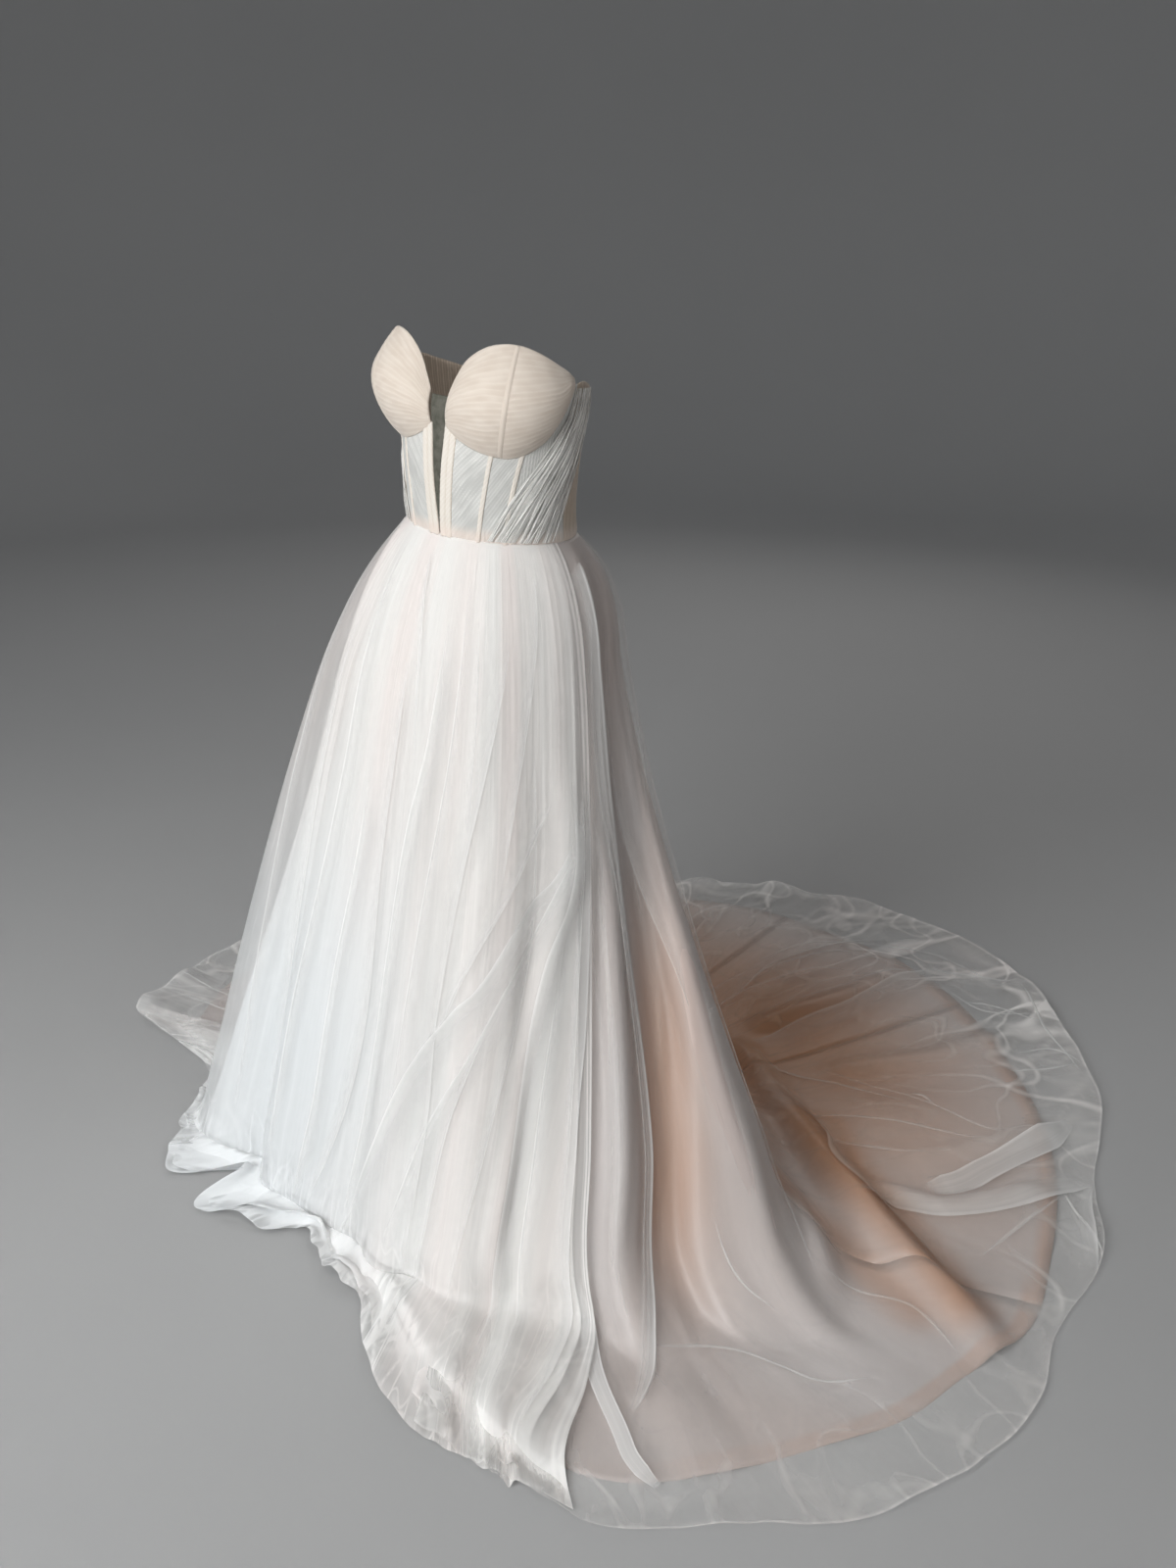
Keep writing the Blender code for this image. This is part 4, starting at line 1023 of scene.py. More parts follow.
frontLaps = [  # the net doubled over: left and right edge from the line, height, how much it hides, line
    (-0.026, 0.0, 0.0026, 0.45,
     [(0.37, 353), (0.53, 353), (0.75, 351.5), (0.92, 349), (1.20, 348), (1.42, 348)]),
    (-0.012, 0.0, 0.0020, 0.40, [(0.40, 350), (0.52, 350), (0.75, 348), (1.09, 345.5)]),
    (0.0, 0.040, 0.0028, 0.40,
     [(0.37, 345), (0.52, 346), (0.66, 336), (0.81, 329), (1.02, 324), (1.30, 320)]),
    (0.0, 0.045, 0.0030, 0.42,
     [(0.46, 346), (0.52, 339), (0.57, 326), (0.68, 312), (0.74, 302), (0.86, 289), (1.21, 269)]),
    (0.0, 0.034, 0.0026, 0.36,
     [(0.46, 349), (0.57, 336), (0.66, 323), (0.77, 312), (0.93, 298), (1.13, 289)]),
    (-0.020, 0.0, 0.0022, 0.34, [(0.40, 338), (0.47, 329), (0.54, 321), (0.66, 308), (0.80, 297)]),
    (-0.030, 0.0, 0.0026, 0.36,
     [(0.15, 320), (0.40, 309), (0.55, 303), (0.74, 299), (0.93, 299), (1.15, 297)]),
    (0.0, 0.030, 0.0026, 0.40,
     [(0.13, 291), (0.32, 287), (0.47, 282), (0.69, 278), (0.82, 277), (0.97, 275), (1.12, 272)]),
    (-0.012, 0.0, 0.0018, 0.36, [(0.03, 270), (0.10, 274), (0.20, 280), (0.34, 283)]),
    (0.0, 0.030, 0.0024, 0.38, [(0.40, 260), (0.55, 259), (0.72, 257), (0.97, 257), (1.16, 255)]),
    (-0.026, 0.0, 0.0024, 0.38,
     [(0.20, 273), (0.35, 272), (0.53, 271), (0.77, 272), (0.94, 269), (1.14, 261)]),
    (-0.016, 0.0, 0.0020, 0.36, [(0.05, 334), (0.15, 332), (0.37, 323), (0.56, 317)]),
    (-0.010, 0.0, 0.0018, 0.34, [(0.12, 306), (0.25, 307), (0.40, 306), (0.47, 307)]),
    (0.0, 0.024, 0.0024, 0.34, [(0.08, 246), (0.40, 248), (0.80, 246), (1.12, 247)]),
    (-0.024, 0.0, 0.0024, 0.34, [(0.15, 234), (0.50, 235), (1.10, 238)]),
    (0.0, 0.020, 0.0022, 0.34, [(0.10, 222), (0.55, 226), (1.10, 230)]),
    (0.0, 0.016, 0.0020, 0.32, [(0.06, 300), (0.30, 297), (0.60, 290), (0.95, 286)]),
    (-0.014, 0.0, 0.0020, 0.32, [(0.30, 330), (0.60, 331), (0.90, 318), (1.20, 309)]),
    (0.0, 0.020, 0.0020, 0.32, [(0.60, 343), (0.85, 337), (1.10, 334), (1.36, 331)]),
    (-0.022, 0.0, 0.0022, 0.32, [(0.70, 318), (0.90, 306), (1.10, 302), (1.28, 300)])]
sideFolds = [  # broad soft folds of the single layer
    (0.024, -0.004, [(0.20, 14.0), (0.60, 17.0), (1.10, 16.0)]),
    (0.030, 0.006, [(0.50, 25.0), (1.10, 28.0), (1.40, 27.0)])]
longLap = [(0.04, 1.4), (0.10, 2.0), (0.387, 5.2), (0.629, 10.0), (0.837, 12.2), (1.115, 11.2), (1.26, 6.5),
           (1.38, 0)]
sideLaps = [
    (-0.030, 0.0, 0.0040, 0.46, longLap),
    (-0.021, -0.018, 0.0050, 0.30, longLap[1:]),
    (-0.011, -0.008, 0.0050, 0.30, [(0.20, 3.2)] + longLap[2:]),
    (-0.002, 0.002, 0.0055, 0.45, longLap),
    (-0.012, 0.012, 0.0040, 0.55, [(1.16, -9), (1.26, -7), (1.39, -2), (1.45, -0.5), (1.49, 1)]),
    (0.0, 0.018, 0.0020, 0.24, [(0.10, 8), (0.40, 13), (0.75, 22), (1.00, 24)]),
    (-0.002, 0.002, 0.0015, 0.40, [(0.55, 30), (0.84, 32), (1.00, 32), (1.14, 34), (1.27, 31)]),
    (0.0, 0.050, 0.0030, 0.40, [(1.30, 59), (1.32, 47), (1.41, 40), (1.48, 36)]),
    (-0.002, 0.002, 0.0015, 0.32, [(1.12, 21), (1.22, 22), (1.28, 24)]),
    (-0.003, 0.003, 0.0015, 0.30, [(1.26, 6), (1.32, 15), (1.37, 18), (1.42, 20), (1.45, 24)]),
    (-0.003, 0.003, 0.0015, 0.34, [(1.28, 32), (1.41, 33), (1.52, 30)]),
    (-0.003, 0.003, 0.0020, 0.40, [(1.56, 86), (1.72, 84), (1.85, 79), (1.92, 75), (1.95, 68), (2.01, 66)]),
    (0.0, 0.060, 0.0020, 0.26, [(1.40, 82), (1.57, 84), (1.73, 82), (1.95, 78)]),
    (-0.003, 0.003, 0.0015, 0.30, [(1.38, 82), (1.41, 83), (1.64, 80), (1.70, 76)]),
    (-0.060, 0.0, 0.0030, 0.34, [(1.30, 72), (1.44, 72), (1.60, 71.5), (1.77, 72), (1.88, 72)]),
    (-0.003, 0.003, 0.0015, 0.32, [(1.31, 77), (1.48, 75), (1.69, 73), (1.84, 72)]),
    (-0.070, 0.0, 0.0030, 0.36, [(1.86, 72), (1.94, 69), (2.03, 66)]),
    (-0.003, 0.003, 0.0020, 0.36, [(1.28, 68), (1.36, 63), (1.43, 59), (1.50, 54)]),
    (-0.003, 0.003, 0.0020, 0.34, [(1.26, 54), (1.34, 54), (1.43, 52), (1.64, 48)]),
    (-0.003, 0.003, 0.0020, 0.30, [(1.28, 51), (1.37, 49), (1.52, 47)]),
    (-0.028, 0.028, 0.0050, 0.55, [(1.50, 43.5), (1.56, 44.3), (1.62, 46), (1.70, 48), (1.80, 50.5)]),
    (0.0, 0.080, 0.0040, 0.50, [(1.37, 41), (1.45, 41), (1.52, 41), (1.63, 42), (1.74, 44), (1.80, 45)]),
    (-0.060, 0.0, 0.0050, 0.40, [(1.80, 45), (1.77, 42), (1.74, 39)]),
    (-0.003, 0.003, 0.0020, 0.34, [(1.54, 38), (1.64, 41), (1.74, 44)]),
    (-0.003, 0.003, 0.0020, 0.50, [(2.01, 66), (1.99, 62), (1.91, 55)]),
    (-0.003, 0.003, 0.0050, 0.60, [(1.74, 44), (1.755, 42), (1.76, 40)]),
    (-0.004, 0.004, 0.0030, 0.40, [(1.53, 55), (1.55, 54.5), (1.55, 53)]),
    (-0.003, 0.003, 0.0020, 0.26, [(1.42, 62), (1.57, 52), (1.66, 49)]),
    (-0.003, 0.003, 0.0020, 0.45, [(1.83, 68), (1.88, 64), (1.99, 62)]),
    (-0.003, 0.003, 0.0020, 0.45, [(1.83, 58), (1.92, 58), (1.94, 56)]),
    (-0.003, 0.003, 0.0020, 0.45, [(1.78, 56), (1.84, 56), (1.92, 56)]),
    (-0.003, 0.003, 0.0020, 0.45, [(1.84, 66), (1.92, 64), (1.98, 61)]),
    (-0.003, 0.003, 0.0015, 0.30, [(1.50, 84), (1.57, 84), (1.76, 80), (1.81, 73), (1.86, 72)])]
hidden = {"count": 34, "first": 84, "last": 228, "seed": 5}  # soft creases on the sides the photo hides


def hiddenLaps():
    rng = np.random.default_rng(hidden["seed"])
    made = []
    for n in range(hidden["count"]):
        angle = hidden["first"] + (hidden["last"] - hidden["first"]) * (
            n + rng.uniform(0.1, 0.9)) / hidden["count"]
        start, long, lean = rng.uniform(0.95, 1.25), rng.uniform(0.25, 0.55), rng.uniform(-5, 5)
        line = [(start, angle), (start + long * 0.5, angle + lean * 0.3), (start + long, angle + lean)]
        made.append((-0.003, 0.003, 0.0020, rng.uniform(0.2, 0.4), line))
    return made


def buildTulle():
    side = netShape(-48, 228, 0.4, trainSteps, 0.0, 3, "sideNet", 1.0, sideFolds)
    under = netShape(194, 350, 0.6, netSteps, 0.003, 7, "frontUnder", 0.75, frontFolds)
    top = netShape(192, 354, 0.36, netSteps, 0.018, 9, "frontTop", 1.0, frontFolds, 353.5)
    for node, first, last in sideNets:
        layNet(node + "_net", side, first, last, [node])
    layNet("tulle_front_under", under, 194, 350, overlayNodes)
    layNet("tulle_front_top", top, 192, 354, overlayNodes)
    for net in (side, top):
        net["both"] = np.concatenate([net["points"], normalsOf(net["points"])], axis=-1)
    layRibbons("tulle_front_laps", top, "frontTop", frontLaps)
    layRibbons("tulle_train_laps", side, "sideNet", sideLaps + hiddenLaps())


buildSatin()
buildTulle()
print("skirt hung")


def onBodice(turn, height, out=0.0):
    turn, height = np.broadcast_arrays(turn, height)
    wide, front, back = (smooth(bodiceRings, height, n) for n in (1, 2, 3))
    deep = np.where(np.abs(turn) < 90, front, back)
    s, c = np.sin(np.radians(turn)), np.cos(np.radians(turn))
    off = np.stack([s / wide, -c / deep, s * 0], axis=-1)
    off /= np.linalg.norm(off, axis=-1, keepdims=True)
    return np.stack([wide * s, -deep * c, height], axis=-1) + off * np.reshape(out, np.shape(out) + (1,))


def turnAcross(width, height):
    return np.degrees(width / smooth(bodiceRings, height, 1))


insertLook = {
    "foot": 0.010, "long": 0.191, "footHalf": 0.0012, "topHalf": 0.0165, "thick": 0.0005, "clear": 0.0012}


def insertHalf(height):
    # half the width of the narrow V of mesh
    share = np.maximum((height - insertLook["foot"]) / insertLook["long"], 0)
    return insertLook["footHalf"] + (insertLook["topHalf"] - insertLook["footHalf"]) * share


def frontEdge(height):
    return np.degrees(np.arcsin((insertHalf(height) + 0.0004) / smooth(bodiceRings, height, 1)))


def panelTop(turn):
    # the panels reach a little way up behind the cups
    under = smooth(cupEdges, turn, 1) + 0.0035
    return np.where(turn < cupEdges[-1, 0], under, smooth(sideTop, turn, 1))


def topAlong(turnOf):
    # the height at which a line up the bodice meets the panels' top edge
    top = np.full(np.shape(turnOf(0.13)), 0.13)
    for _ in range(6):
        top = panelTop(turnOf(top))
    return top


def boneTurn(height, number):
    # the line of a casing, which runs on behind the cup at 55 degrees for each metre
    height = np.asarray(height, float)
    return smooth(casingLines, height, number) + np.maximum(height - casingLines[-1, 0], 0) * 55


hands = (("left", False), ("right", True))  # the wearer's right side mirrors the left one
perTurn = 0.0026  # metres on the cut cloth of the bodice for each degree
tuck = 0.003  # how far the bodice reaches down into the waist seam


def bothSides(name, points, finish, slot, thick, layers, cut, held="stretched", fullness=1.0):
    for side, mirror in hands:
        piece = layCloth(f"{name}_{side}_cloth", points, finishes[finish], thick, layers, cut, mirror)
        wear(piece, slot, f"{name}_{side}")
        hang(piece, points, held, fullness)


panelLook = {
    "spacing": 0.0075, "rise": 0.0009, "thick": 0.0007, "rows": 100, "columns": 36, "fullness": 1.25,
    "clear": 0.0014, "plainRise": 0.0008, "plainRows": 46, "plainSpacing": 1.9, "halfWidth": 0.145}
pleatTurn = 0.78  # where in its width a pleat is highest


def pleatWave(phase):
    # one flat pleat: it climbs slowly, then drops over its folded edge
    t = phase % 1.0
    return np.where(t < pleatTurn, (t / pleatTurn) ** 1.4, 1 - (t - pleatTurn) / (1 - pleatTurn))


def puckers(turn, height):
    # the small wrinkles where the bodice is sewn into the waist seam
    return 0.0011 * (1 - np.abs(wander(turn / 1.3, height * 40, 19))) ** 3 * ramp(height, 0.030, 0.004)


def warmth(height):
    # the seam allowances and the lining show through the sheer cloth just over the waist
    return 0.75 * ramp(height, 0.024, 0.004) + 0 * height


def crossPleats(turn, height, slant, seed):
    # the swept pleats as a phase, one whole number for each pleat
    width = np.radians(turn) * panelLook["halfWidth"]
    return (height - slant * width) / panelLook["spacing"] + 0.5 * wander(height * 22, width * 30, seed)


def panelGrid(turnAt, rows, columns, short=0.0):
    # a piece from the waist seam to the panels' top edge, or short of it by so many metres;
    # turnAt says its turn at a height and a share of its width
    up, across = shares(rows, columns)
    height = np.zeros((rows + 1, columns + 1))
    for j, x in enumerate(across[0]):
        top = float(topAlong(lambda h: turnAt(h, x))) - short
        height[:, j] = -tuck + (top + tuck) * up[:, 0]
    return up, across, height, turnAt(height, across)


def pleatedPanel(name, turnAt, slant, seed):
    # soft pleats that rise from the centre to the side, slant metres for each metre across
    up, _, height, turn = panelGrid(turnAt, panelLook["rows"], panelLook["columns"])
    width = np.radians(turn) * panelLook["halfWidth"]
    phase = crossPleats(turn, height, slant, seed)
    wave = pleatWave(phase)
    ends = ramp(up, 0.0, 0.02) * ramp(up, 1.0, 0.985)
    deep = 0.65 + 0.5 * wander(height * 60, width * 50, seed + 1)
    out = panelLook["clear"] + (panelLook["rise"] * wave * deep + puckers(turn, height)) * ends
    points = onBodice(turn, height, out)
    dense = np.clip(0.25 + 0.55 * deep * wave**2.5 + 0.25 * wander(phase, width * 40, seed + 2), 0, 1)
    bothSides(name, points, "sheer", "sheer", panelLook["thick"], {"dense": dense, "warm": warmth(height)},
              (turn * perTurn, height), "stretched", panelLook["fullness"])


def plainPanel(name, turnAt, columns, seed, finish):
    up, _, height, turn = panelGrid(turnAt, panelLook["plainRows"], columns)
    phase = turn / panelLook["plainSpacing"] + 0.35 * wander(turn / 9, height * 9, seed)
    wave = pleatWave(phase)
    ends = ramp(up, 0.0, 0.03) * ramp(up, 1.0, 0.97)
    out = panelLook["clear"] + (panelLook["plainRise"] * wave + puckers(turn, height)) * ends
    points = onBodice(turn, height, out)
    layers = {"dense": np.clip(0.15 + 0.85 * wave**3, 0, 1), "warm": warmth(height)}
    bothSides(name, points, finish, "sheer", panelLook["thick"], layers, (turn * perTurn, height))


casingLook = {
    "thick": 0.0007, "clear": 0.0010, "base": 0.0013, "rise": 0.0009, "pleats": 0.0004, "stitch": 0.0022,
    "short": 0.0014, "rows": 60}


def casing(name, line, width, bones):
    # tape under net, with a channel for each bone and a row of stitches beside it
    up, across, height, turn = panelGrid(lambda h, x: line(h) + turnAcross(width, h) * x,
                                         casingLook["rows"], 10 * bones, casingLook["short"])
    channel = np.abs(np.sin(np.pi * across * bones)) ** 0.5
    seam = bump((np.abs(across - 0.5) - 0.44) / 0.05) + bump((across - 0.5) / 0.05) * (bones > 1)
    stitch = seam * (0.5 + 0.5 * np.cos(height / casingLook["stitch"] * math.pi))
    wave = pleatWave(crossPleats(turn, height, 1.2, 23))
    flat = ramp(across, 0.0, 0.06) * ramp(across, 1.0, 0.94)
    out = casingLook["clear"] + casingLook["base"] * flat + casingLook["rise"] * channel
    out = out + casingLook["pleats"] * wave * ramp(up, 0, 0.03) - 0.0004 * stitch
    dense = np.clip(0.55 + 0.35 * wave**2.5 - 0.5 * stitch - 0.25 * (1 - channel), 0, 1)
    bothSides(name, onBodice(turn, height, out), "tape", "casing", casingLook["thick"],
              {"dense": dense, "warm": warmth(height)}, (turn * perTurn, height), "laid")


cupLook = {
    "stand": 0.037, "pleats": 19, "rise": 0.0007, "seamTurn": 40.0, "seamLean": 4.0, "pad": 0.0052,
    "rows": 100, "long": 0.15, "fill": 0.6, "strip": 0.0072, "stripThick": 0.0007, "stitches": 45}
cupStart = cupEdges[0, 0]
cupSpan = 81.0  # degrees from there to the cup's outer end


def cupStand(turn, up):
    along = 0.012 + 0.988 * np.clip((turn - cupStart) / cupSpan, 0, 1)
    return cupLook["stand"] * np.sin(np.pi * along) ** 0.75 * smooth(cupCross, up, 1)


def cupPoint(turn, up, out):
    low, high = smooth(cupEdges, turn, 1), smooth(cupEdges, turn, 2)
    return onBodice(turn, low + (high - low) * up, cupStand(turn, up) + out)


def cupThick(turn, up):
    # a crowned pad, thickest in its middle
    along = np.clip((turn - cupStart) / cupSpan, 0, 1)
    return 0.0022 + 0.0032 * np.sqrt(np.maximum(np.sin(np.pi * along) * np.sin(np.pi * up), 0))


def cupSeam(up):
    return cupLook["seamTurn"] + cupLook["seamLean"] * up


def buildCup(name, start, end, columns, seed, slant):
    up, across = shares(cupLook["rows"], columns)
    turn = start(up) + (end(up) - start(up)) * across
    phase = up * cupLook["pleats"] + slant * across + 0.30 * wander(up * 7 + across, across * 3, seed)
    wave = pleatWave(phase)
    edges = ramp(up, 0.0, 0.03) * ramp(up, 1.0, 0.97) * ramp(across, 0.0, 0.04) * ramp(across, 1.0, 0.96)
    deep = 0.7 + 0.4 * wander(up * 9, across * 4, seed + 1)
    points = cupPoint(turn, up, cupThick(turn, up) + cupLook["rise"] * wave * edges * deep)
    dense = np.clip(0.35 + 0.45 * wave**2 + 0.3 * wander(up * 20, across * 6, seed + 2), 0, 1)
    for side, mirror in hands:
        piece = layCloth(f"{name}_{side}_pad", points, finishes["cup"], cupLook["pad"], {"dense": dense},
                         (turn * perTurn, up * cupLook["long"]), mirror)
        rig.padded(wear(piece, "cup", f"{name}_{side}"), fill=cupLook["fill"])


def buildCupStrip():
    # the narrow tape on the cup's seam, with a row of stitches along each edge
    up, across = shares(120, 12, 0.995, 0.01, -0.5, 0.5)
    turn = cupSeam(up) + np.degrees(cupLook["strip"] / 0.162) * across
    stitch = bump((np.abs(across) - 0.33) / 0.10) * (0.5 + 0.5 * np.cos(up * cupLook["stitches"] * math.tau))
    out = cupThick(turn, up) + 0.0003 + 0.0008 * np.cos(np.pi * across) - 0.0003 * stitch
    bothSides("cup_strip", cupPoint(turn, up, out), "cup", "casing", cupLook["stripThick"],
              {"dense": 0.55 + 0 * out - 0.55 * stitch}, (turn * perTurn, up * cupLook["long"]), "laid")


drapeLook = {
    "strands": 20, "threads": 26, "clear": 0.0034, "long": 0.26, "rows": 64, "seed": 77,
    "strand": (0.020, 0.044), "thread": (0.004, 0.008)}  # least and most half width, as shares of the swath


def drapeStrand(n, along, rng):
    # one loose strand of folded tulle, or one thin thread of it, from the underarm to the waist
    thread = n >= drapeLook["strands"]
    k = n - drapeLook["strands"] * thread
    count = drapeLook["threads"] if thread else drapeLook["strands"]
    middle = (k + 0.5) / count + rng.uniform(-0.03, 0.03)
    half = rng.uniform(*drapeLook["thread" if thread else "strand"])
    across = np.linspace(-1, 1, 3 if thread else 7)[None, :]
    sway = (0.10 if thread else 0.06) * wander(along * 2.2 + n * 3.1, along * 0, 60 + n)
    pinch = 0.75 + 0.45 * np.sin(np.pi * along) + 0.35 * wander(along * 5, along * 0 + n, 61)
    share = np.clip(middle + sway + half * pinch * across, 0.0, 1.0)
    turn, height = (smooth(drapeEdges, along, c) * (1 - share) + smooth(drapeEdges, along, c + 2) * share
                    for c in (1, 2))
    height = np.minimum(height, panelTop(turn) - 0.0006)
    sag = smooth(drapeEdges, along, 5) * np.sin(np.pi * np.clip(share, 0.02, 0.98)) ** 0.6
    crown = np.sqrt(np.clip(1 - across**2, 0, 1))
    ripple = 0.0007 * wander(across * 3 + n, along * 9, 63 + n)
    stand = 0.0012 * crown * (not thread) + 0.0017 * thread + ripple
    out = drapeLook["clear"] + sag * 0.35 + stand * np.sin(np.pi * (0.06 + 0.88 * along)) ** 0.5
    out = out + 0.0005 * (k % 3)
    edge = np.abs(np.cos(across * 5 + 3 * wander(along * 3, along * 0, 64 + n)))
    dense = np.clip(0.75 * (1 - crown) + 0.10 + 0.30 * edge + 0.45 * thread, 0, 1)
    return onBodice(turn, height, out), dense, (share * 0.1, along * drapeLook["long"])


def buildDrape():
    along = np.linspace(0, 1, drapeLook["rows"] + 1)[:, None]
    for side, mirror in hands:
        rng = np.random.default_rng(drapeLook["seed"])
        strips = []
        for n in range(drapeLook["strands"] + drapeLook["threads"]):
            points, dense, cut = drapeStrand(n, along, rng)
            strand = layCloth(f"strand_{side}_{n}", points, finishes["drape"], 0.0,
                              {"dense": dense}, cut, mirror)
            strips.append((strand, points))
        hangStrips(f"side_drape_{side}_strands", strips, "sheer", "draped", 0.27, f"side_drape_{side}")


def buildInsert():
    up, across = shares(60, 16, left=-1.0)
    height = insertLook["foot"] + insertLook["long"] * up + across * 0
    turn = np.degrees(np.arcsin(insertHalf(height) * across / smooth(bodiceRings, height, 1)))
    stand = cupStand(np.full_like(height, cupStart), np.clip((height - 0.159) / 0.040, 0, 1))
    out = stand + insertLook["clear"] + 0.0004 * wander(across * 4, up * 9, 5)
    points = onBodice(turn, height, out)
    piece = layCloth("mesh_insert_net", points, finishes["insert"], insertLook["thick"], None,
                     (turn * perTurn, height))
    wear(piece, "insert", "mesh_insert")
    hang(piece, points, "stretched")


gap = 0.1  # degrees left open between a panel and the line it ends at
sideSeam, sideBackSeam, backSeam = 90.0, 135.0, 180.0


def between(inner, outer):
    # a panel's turns from its inner to its outer edge
    return lambda h, x: inner(h) * (1 - x) + outer(h) * x


def at(turn):
    return lambda h: turn + 0 * h


def cupInnerEdge(up):
    height = cupEdges[0, 1] + (cupEdges[0, 2] - cupEdges[0, 1]) * up
    return np.degrees(np.arcsin((insertHalf(height) + 0.001) / smooth(bodiceRings, height, 1)))


def buildBodice():
    middle, side = (lambda h: boneTurn(h, 1)), (lambda h: boneTurn(h, 2))
    buildInsert()
    pleatedPanel("front_panel", between(frontEdge, lambda h: middle(h) - gap), 1.15, 21)
    pleatedPanel("side_front_panel", between(lambda h: middle(h) + gap, lambda h: side(h) - gap), 1.35, 24)
    plainPanel("side_panel", between(lambda h: side(h) + gap, at(sideSeam - gap)), 70, 27, "sheer")
    # the back panels take the sheer's darker copy, painted shade
    plainPanel("side_back_panel", between(at(sideSeam + gap), at(sideBackSeam - gap)), 80, 28, "shadedBackSheer")
    plainPanel("back_panel", between(at(sideBackSeam + gap), at(backSeam - gap)), 80, 29, "shadedBackSheer")
    casing("front_casing", lambda h: np.maximum(frontEdge(h) - 0.55, 0.2), 0.023, 2)
    casing("middle_casing", lambda h: middle(h) - 1.6, 0.008, 1)
    casing("side_casing", lambda h: side(h) - 1.6, 0.008, 1)
    buildCup("cup_inner", cupInnerEdge, lambda up: cupSeam(up) - 0.08, 48, 31, -1.5)
    buildCup("cup_outer", lambda up: cupSeam(up) + 0.08, at(85.9), 56, 34, -3.0)
    buildCupStrip()
    buildDrape()


buildBodice()
print("bodice sewn")


zipLook = {
    "foot": 0.003, "long": 0.193, "width": 0.030, "backRadius": 0.155, "thick": 0.0009, "behind": 0.0010}


def buildZip():
    up, across = shares(60, 8, left=-0.5, right=0.5)
    height = zipLook["foot"] + zipLook["long"] * up + across * 0
    turn = 180 + np.degrees(zipLook["width"] / zipLook["backRadius"]) * across
    points = onBodice(turn, height, -zipLook["behind"])
    piece = layCloth("zip_tape_woven", points, finishes["casing"], zipLook["thick"], None,
                     (turn * perTurn, height))
    wear(piece, "tape", "zip_tape")
    hang(piece, points, "laid")
    for node in ("zip_slider", "zip_pull_tab"):
        slots = frame["nodes"][node].data.materials
        slots.clear()
        slots.append(finishes["metal"])


buildZip()
print("zip closed")


studioLook = {
    "flat": 6.0, "bend": 3.0, "wall": (9.2, 6.0), "steps": 96,
    "paint": (tone(0.44, 0.44, 0.44), tone(0.47, 0.47, 0.47)),
    "air": tone(0.95, 0.97, 1.0), "airStrength": 0.20}


def buildStudio():
    # a round floor that bends up into a wall, far from the dress on every side
    flat, bend = studioLook["flat"], studioLook["bend"]
    profile = [(0.0, floorLevel), (flat, floorLevel)]
    for a in np.linspace(0.1, 1.5, 14):
        profile.append((flat + bend * math.sin(a), floorLevel + bend - bend * math.cos(a)))
    profile.append(studioLook["wall"])
    bm = bmesh.new()
    line = [bm.verts.new((x, 0, z)) for x, z in profile]
    edges = [bm.edges.new(pair) for pair in zip(line, line[1:])]
    bmesh.ops.spin(bm, geom=line + edges, cent=(0, 0, 0), axis=(0, 0, 1), angle=math.tau,
                   steps=studioLook["steps"], use_merge=True)
    bmesh.ops.remove_doubles(bm, verts=bm.verts[:], dist=1e-5)
    bmesh.ops.recalc_face_normals(bm, faces=bm.faces[:])
    mesh = bpy.data.meshes.new("floor")
    bm.to_mesh(mesh)
    bm.free()
    look = Cloth("floorPaint", 0.9, Specular_IOR_Level=0.1)
    look.send("Base Color", look.grain(0.7, 2.0).blend(*studioLook["paint"]))
    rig.stage(finishPiece("floor", mesh, look.material))
    world = bpy.data.worlds.new("studio")
    bpy.context.scene.world = world
    world.use_nodes = True
    air = world.node_tree.nodes["Background"].inputs
    air["Color"].default_value, air["Strength"].default_value = studioLook["air"], studioLook["airStrength"]


lamps = [  # name, place, aim, width, height, power, spread in degrees, colour
    ("key", (-0.1, -4.4, 1.25), (0.1, 0.0, -0.4), 2.8, 2.4, 174, 180, (0.97, 0.99, 1.0)),
    ("fill", (3.9, -1.4, 1.3), (0.2, 0.0, -0.4), 2.6, 2.6, 19, 180, (1.0, 0.97, 0.94)),
    ("above", (-0.5, -1.9, 2.9), (0.0, -0.62, -1.1), 1.2, 1.0, 4.5, 70, (1.0, 0.98, 0.95)),
    ("back", (-1.6, 4.2, 2.2), (0.0, 0.2, -0.5), 3.0, 2.4, 26, 180, (1.0, 0.97, 0.94)),
]


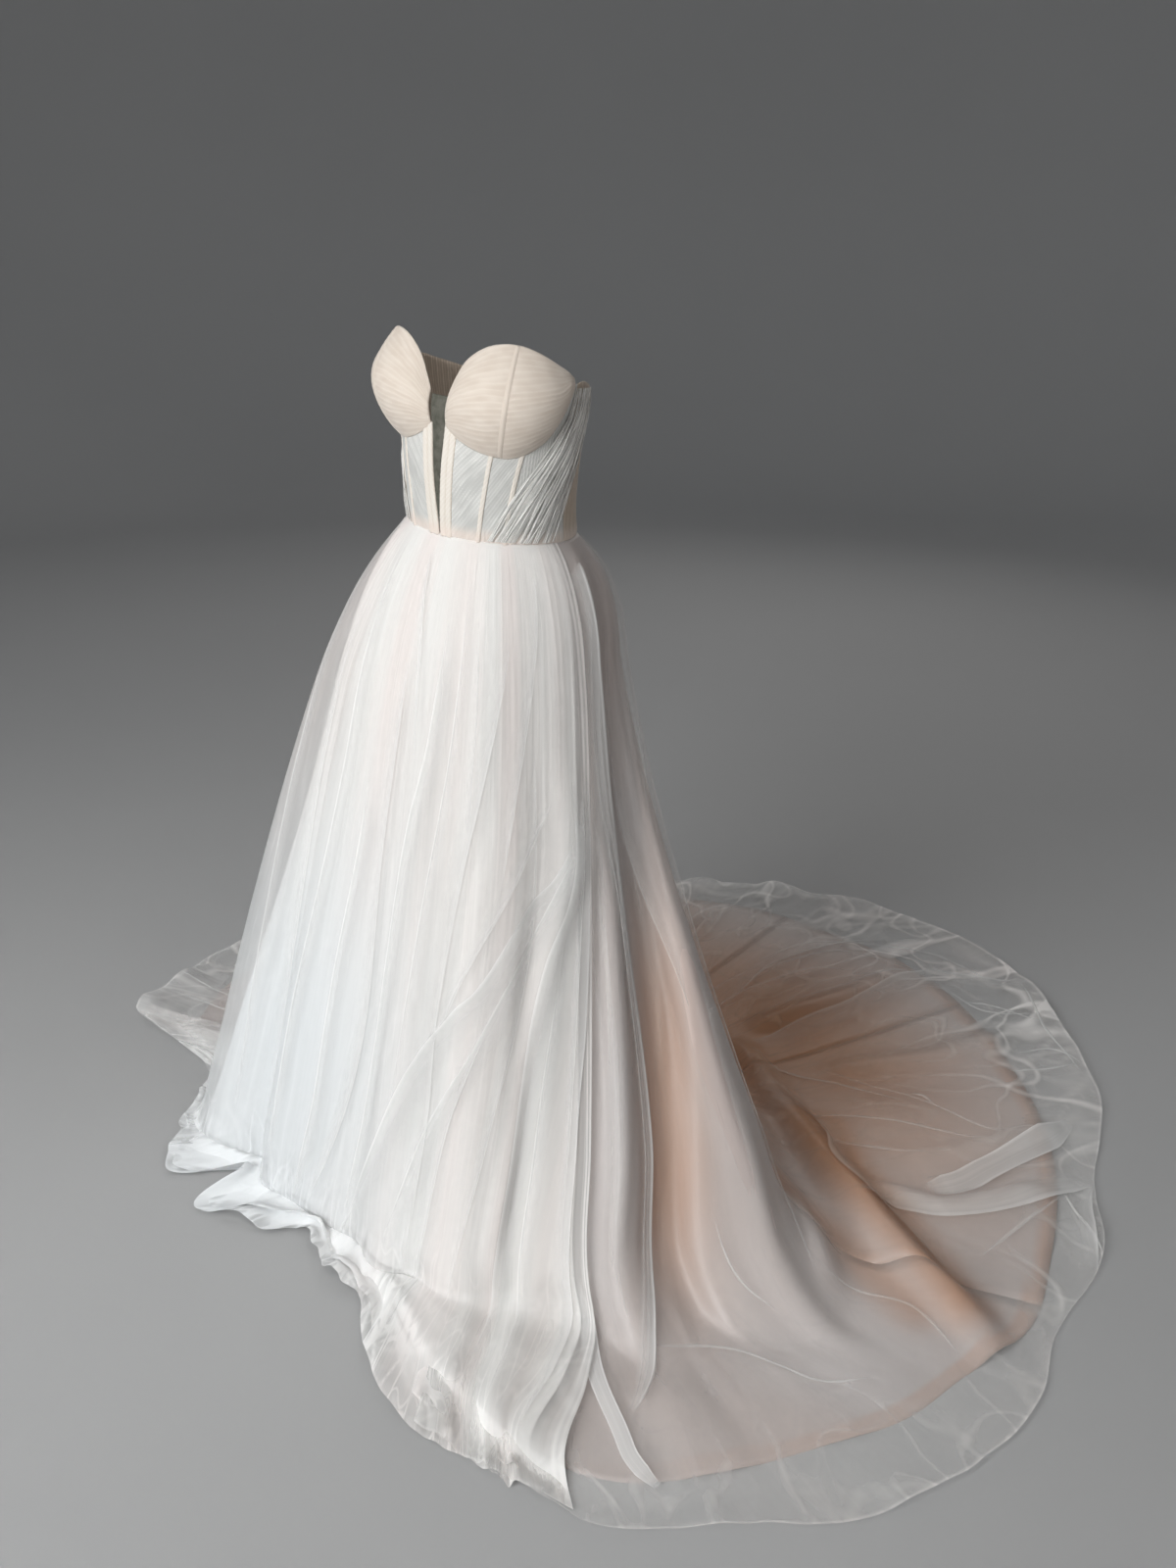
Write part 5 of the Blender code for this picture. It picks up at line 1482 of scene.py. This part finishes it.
def buildLamps():
    for name, place, aim, wide, high, power, spread, colour in lamps:
        data = bpy.data.lights.new(name, "AREA")
        data.shape, data.size, data.size_y = "RECTANGLE", wide, high
        data.energy, data.color, data.spread = power, colour, math.radians(spread)
        lamp = bpy.data.objects.new(name, data)
        lamp.location = place
        lamp.rotation_euler = (Vector(aim) - Vector(place)).to_track_quat("-Z", "Y").to_euler()
        bpy.context.scene.collection.objects.link(lamp)


view = {  # the photo's camera: metres over the floor and from the dress, degrees, and the lens in millimetres
    "height": 1.52, "away": 2.03, "azimuth": 41.5, "heading": 37.0, "pitch": 22.3, "roll": 1.1, "lens": 29.25,
    "sensor": 36.0}


def buildCamera():
    data = bpy.data.cameras.new("camera")
    data.lens, data.sensor_width = view["lens"], view["sensor"]
    data.clip_start, data.clip_end = 0.05, 60
    camera = bpy.data.objects.new("camera", data)
    a, h, p, r = (math.radians(view[key]) for key in ("azimuth", "heading", "pitch", "roll"))
    ahead = Vector((-math.sin(h) * math.cos(p), math.cos(h) * math.cos(p), -math.sin(p)))
    right = ahead.cross(Vector((0, 0, 1))).normalized()
    up = right.cross(ahead)
    right, up = right * math.cos(r) + up * math.sin(r), up * math.cos(r) - right * math.sin(r)
    turned = Matrix((right, up, -ahead)).transposed().to_4x4()
    place = Vector((view["away"] * math.sin(a), -view["away"] * math.cos(a), view["height"] + floorLevel))
    camera.matrix_world = Matrix.Translation(place) @ turned
    bpy.context.scene.collection.objects.link(camera)
    bpy.context.scene.camera = camera


buildStudio()
buildLamps()
buildCamera()
scene = bpy.context.scene
scene.view_settings.view_transform = "Standard"
sampling = {  # the many sheer layers need many see-through bounces and few others
    "use_adaptive_sampling": True, "adaptive_threshold": 0.07, "adaptive_min_samples": 10,
    "transparent_max_bounces": 16, "max_bounces": 3, "diffuse_bounces": 2, "glossy_bounces": 1}
for key, value in sampling.items():
    setattr(scene.cycles, key, value)
faces = sum(len(piece.data.polygons) for piece in bpy.data.objects if piece.type == "MESH")
print("studio lit,", faces, "faces before modifiers")

shownBox = [list(corner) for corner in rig.bounds()]
with open("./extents.json", "w") as out:
    json.dump({"cad": cadBox, "visual": shownBox}, out)
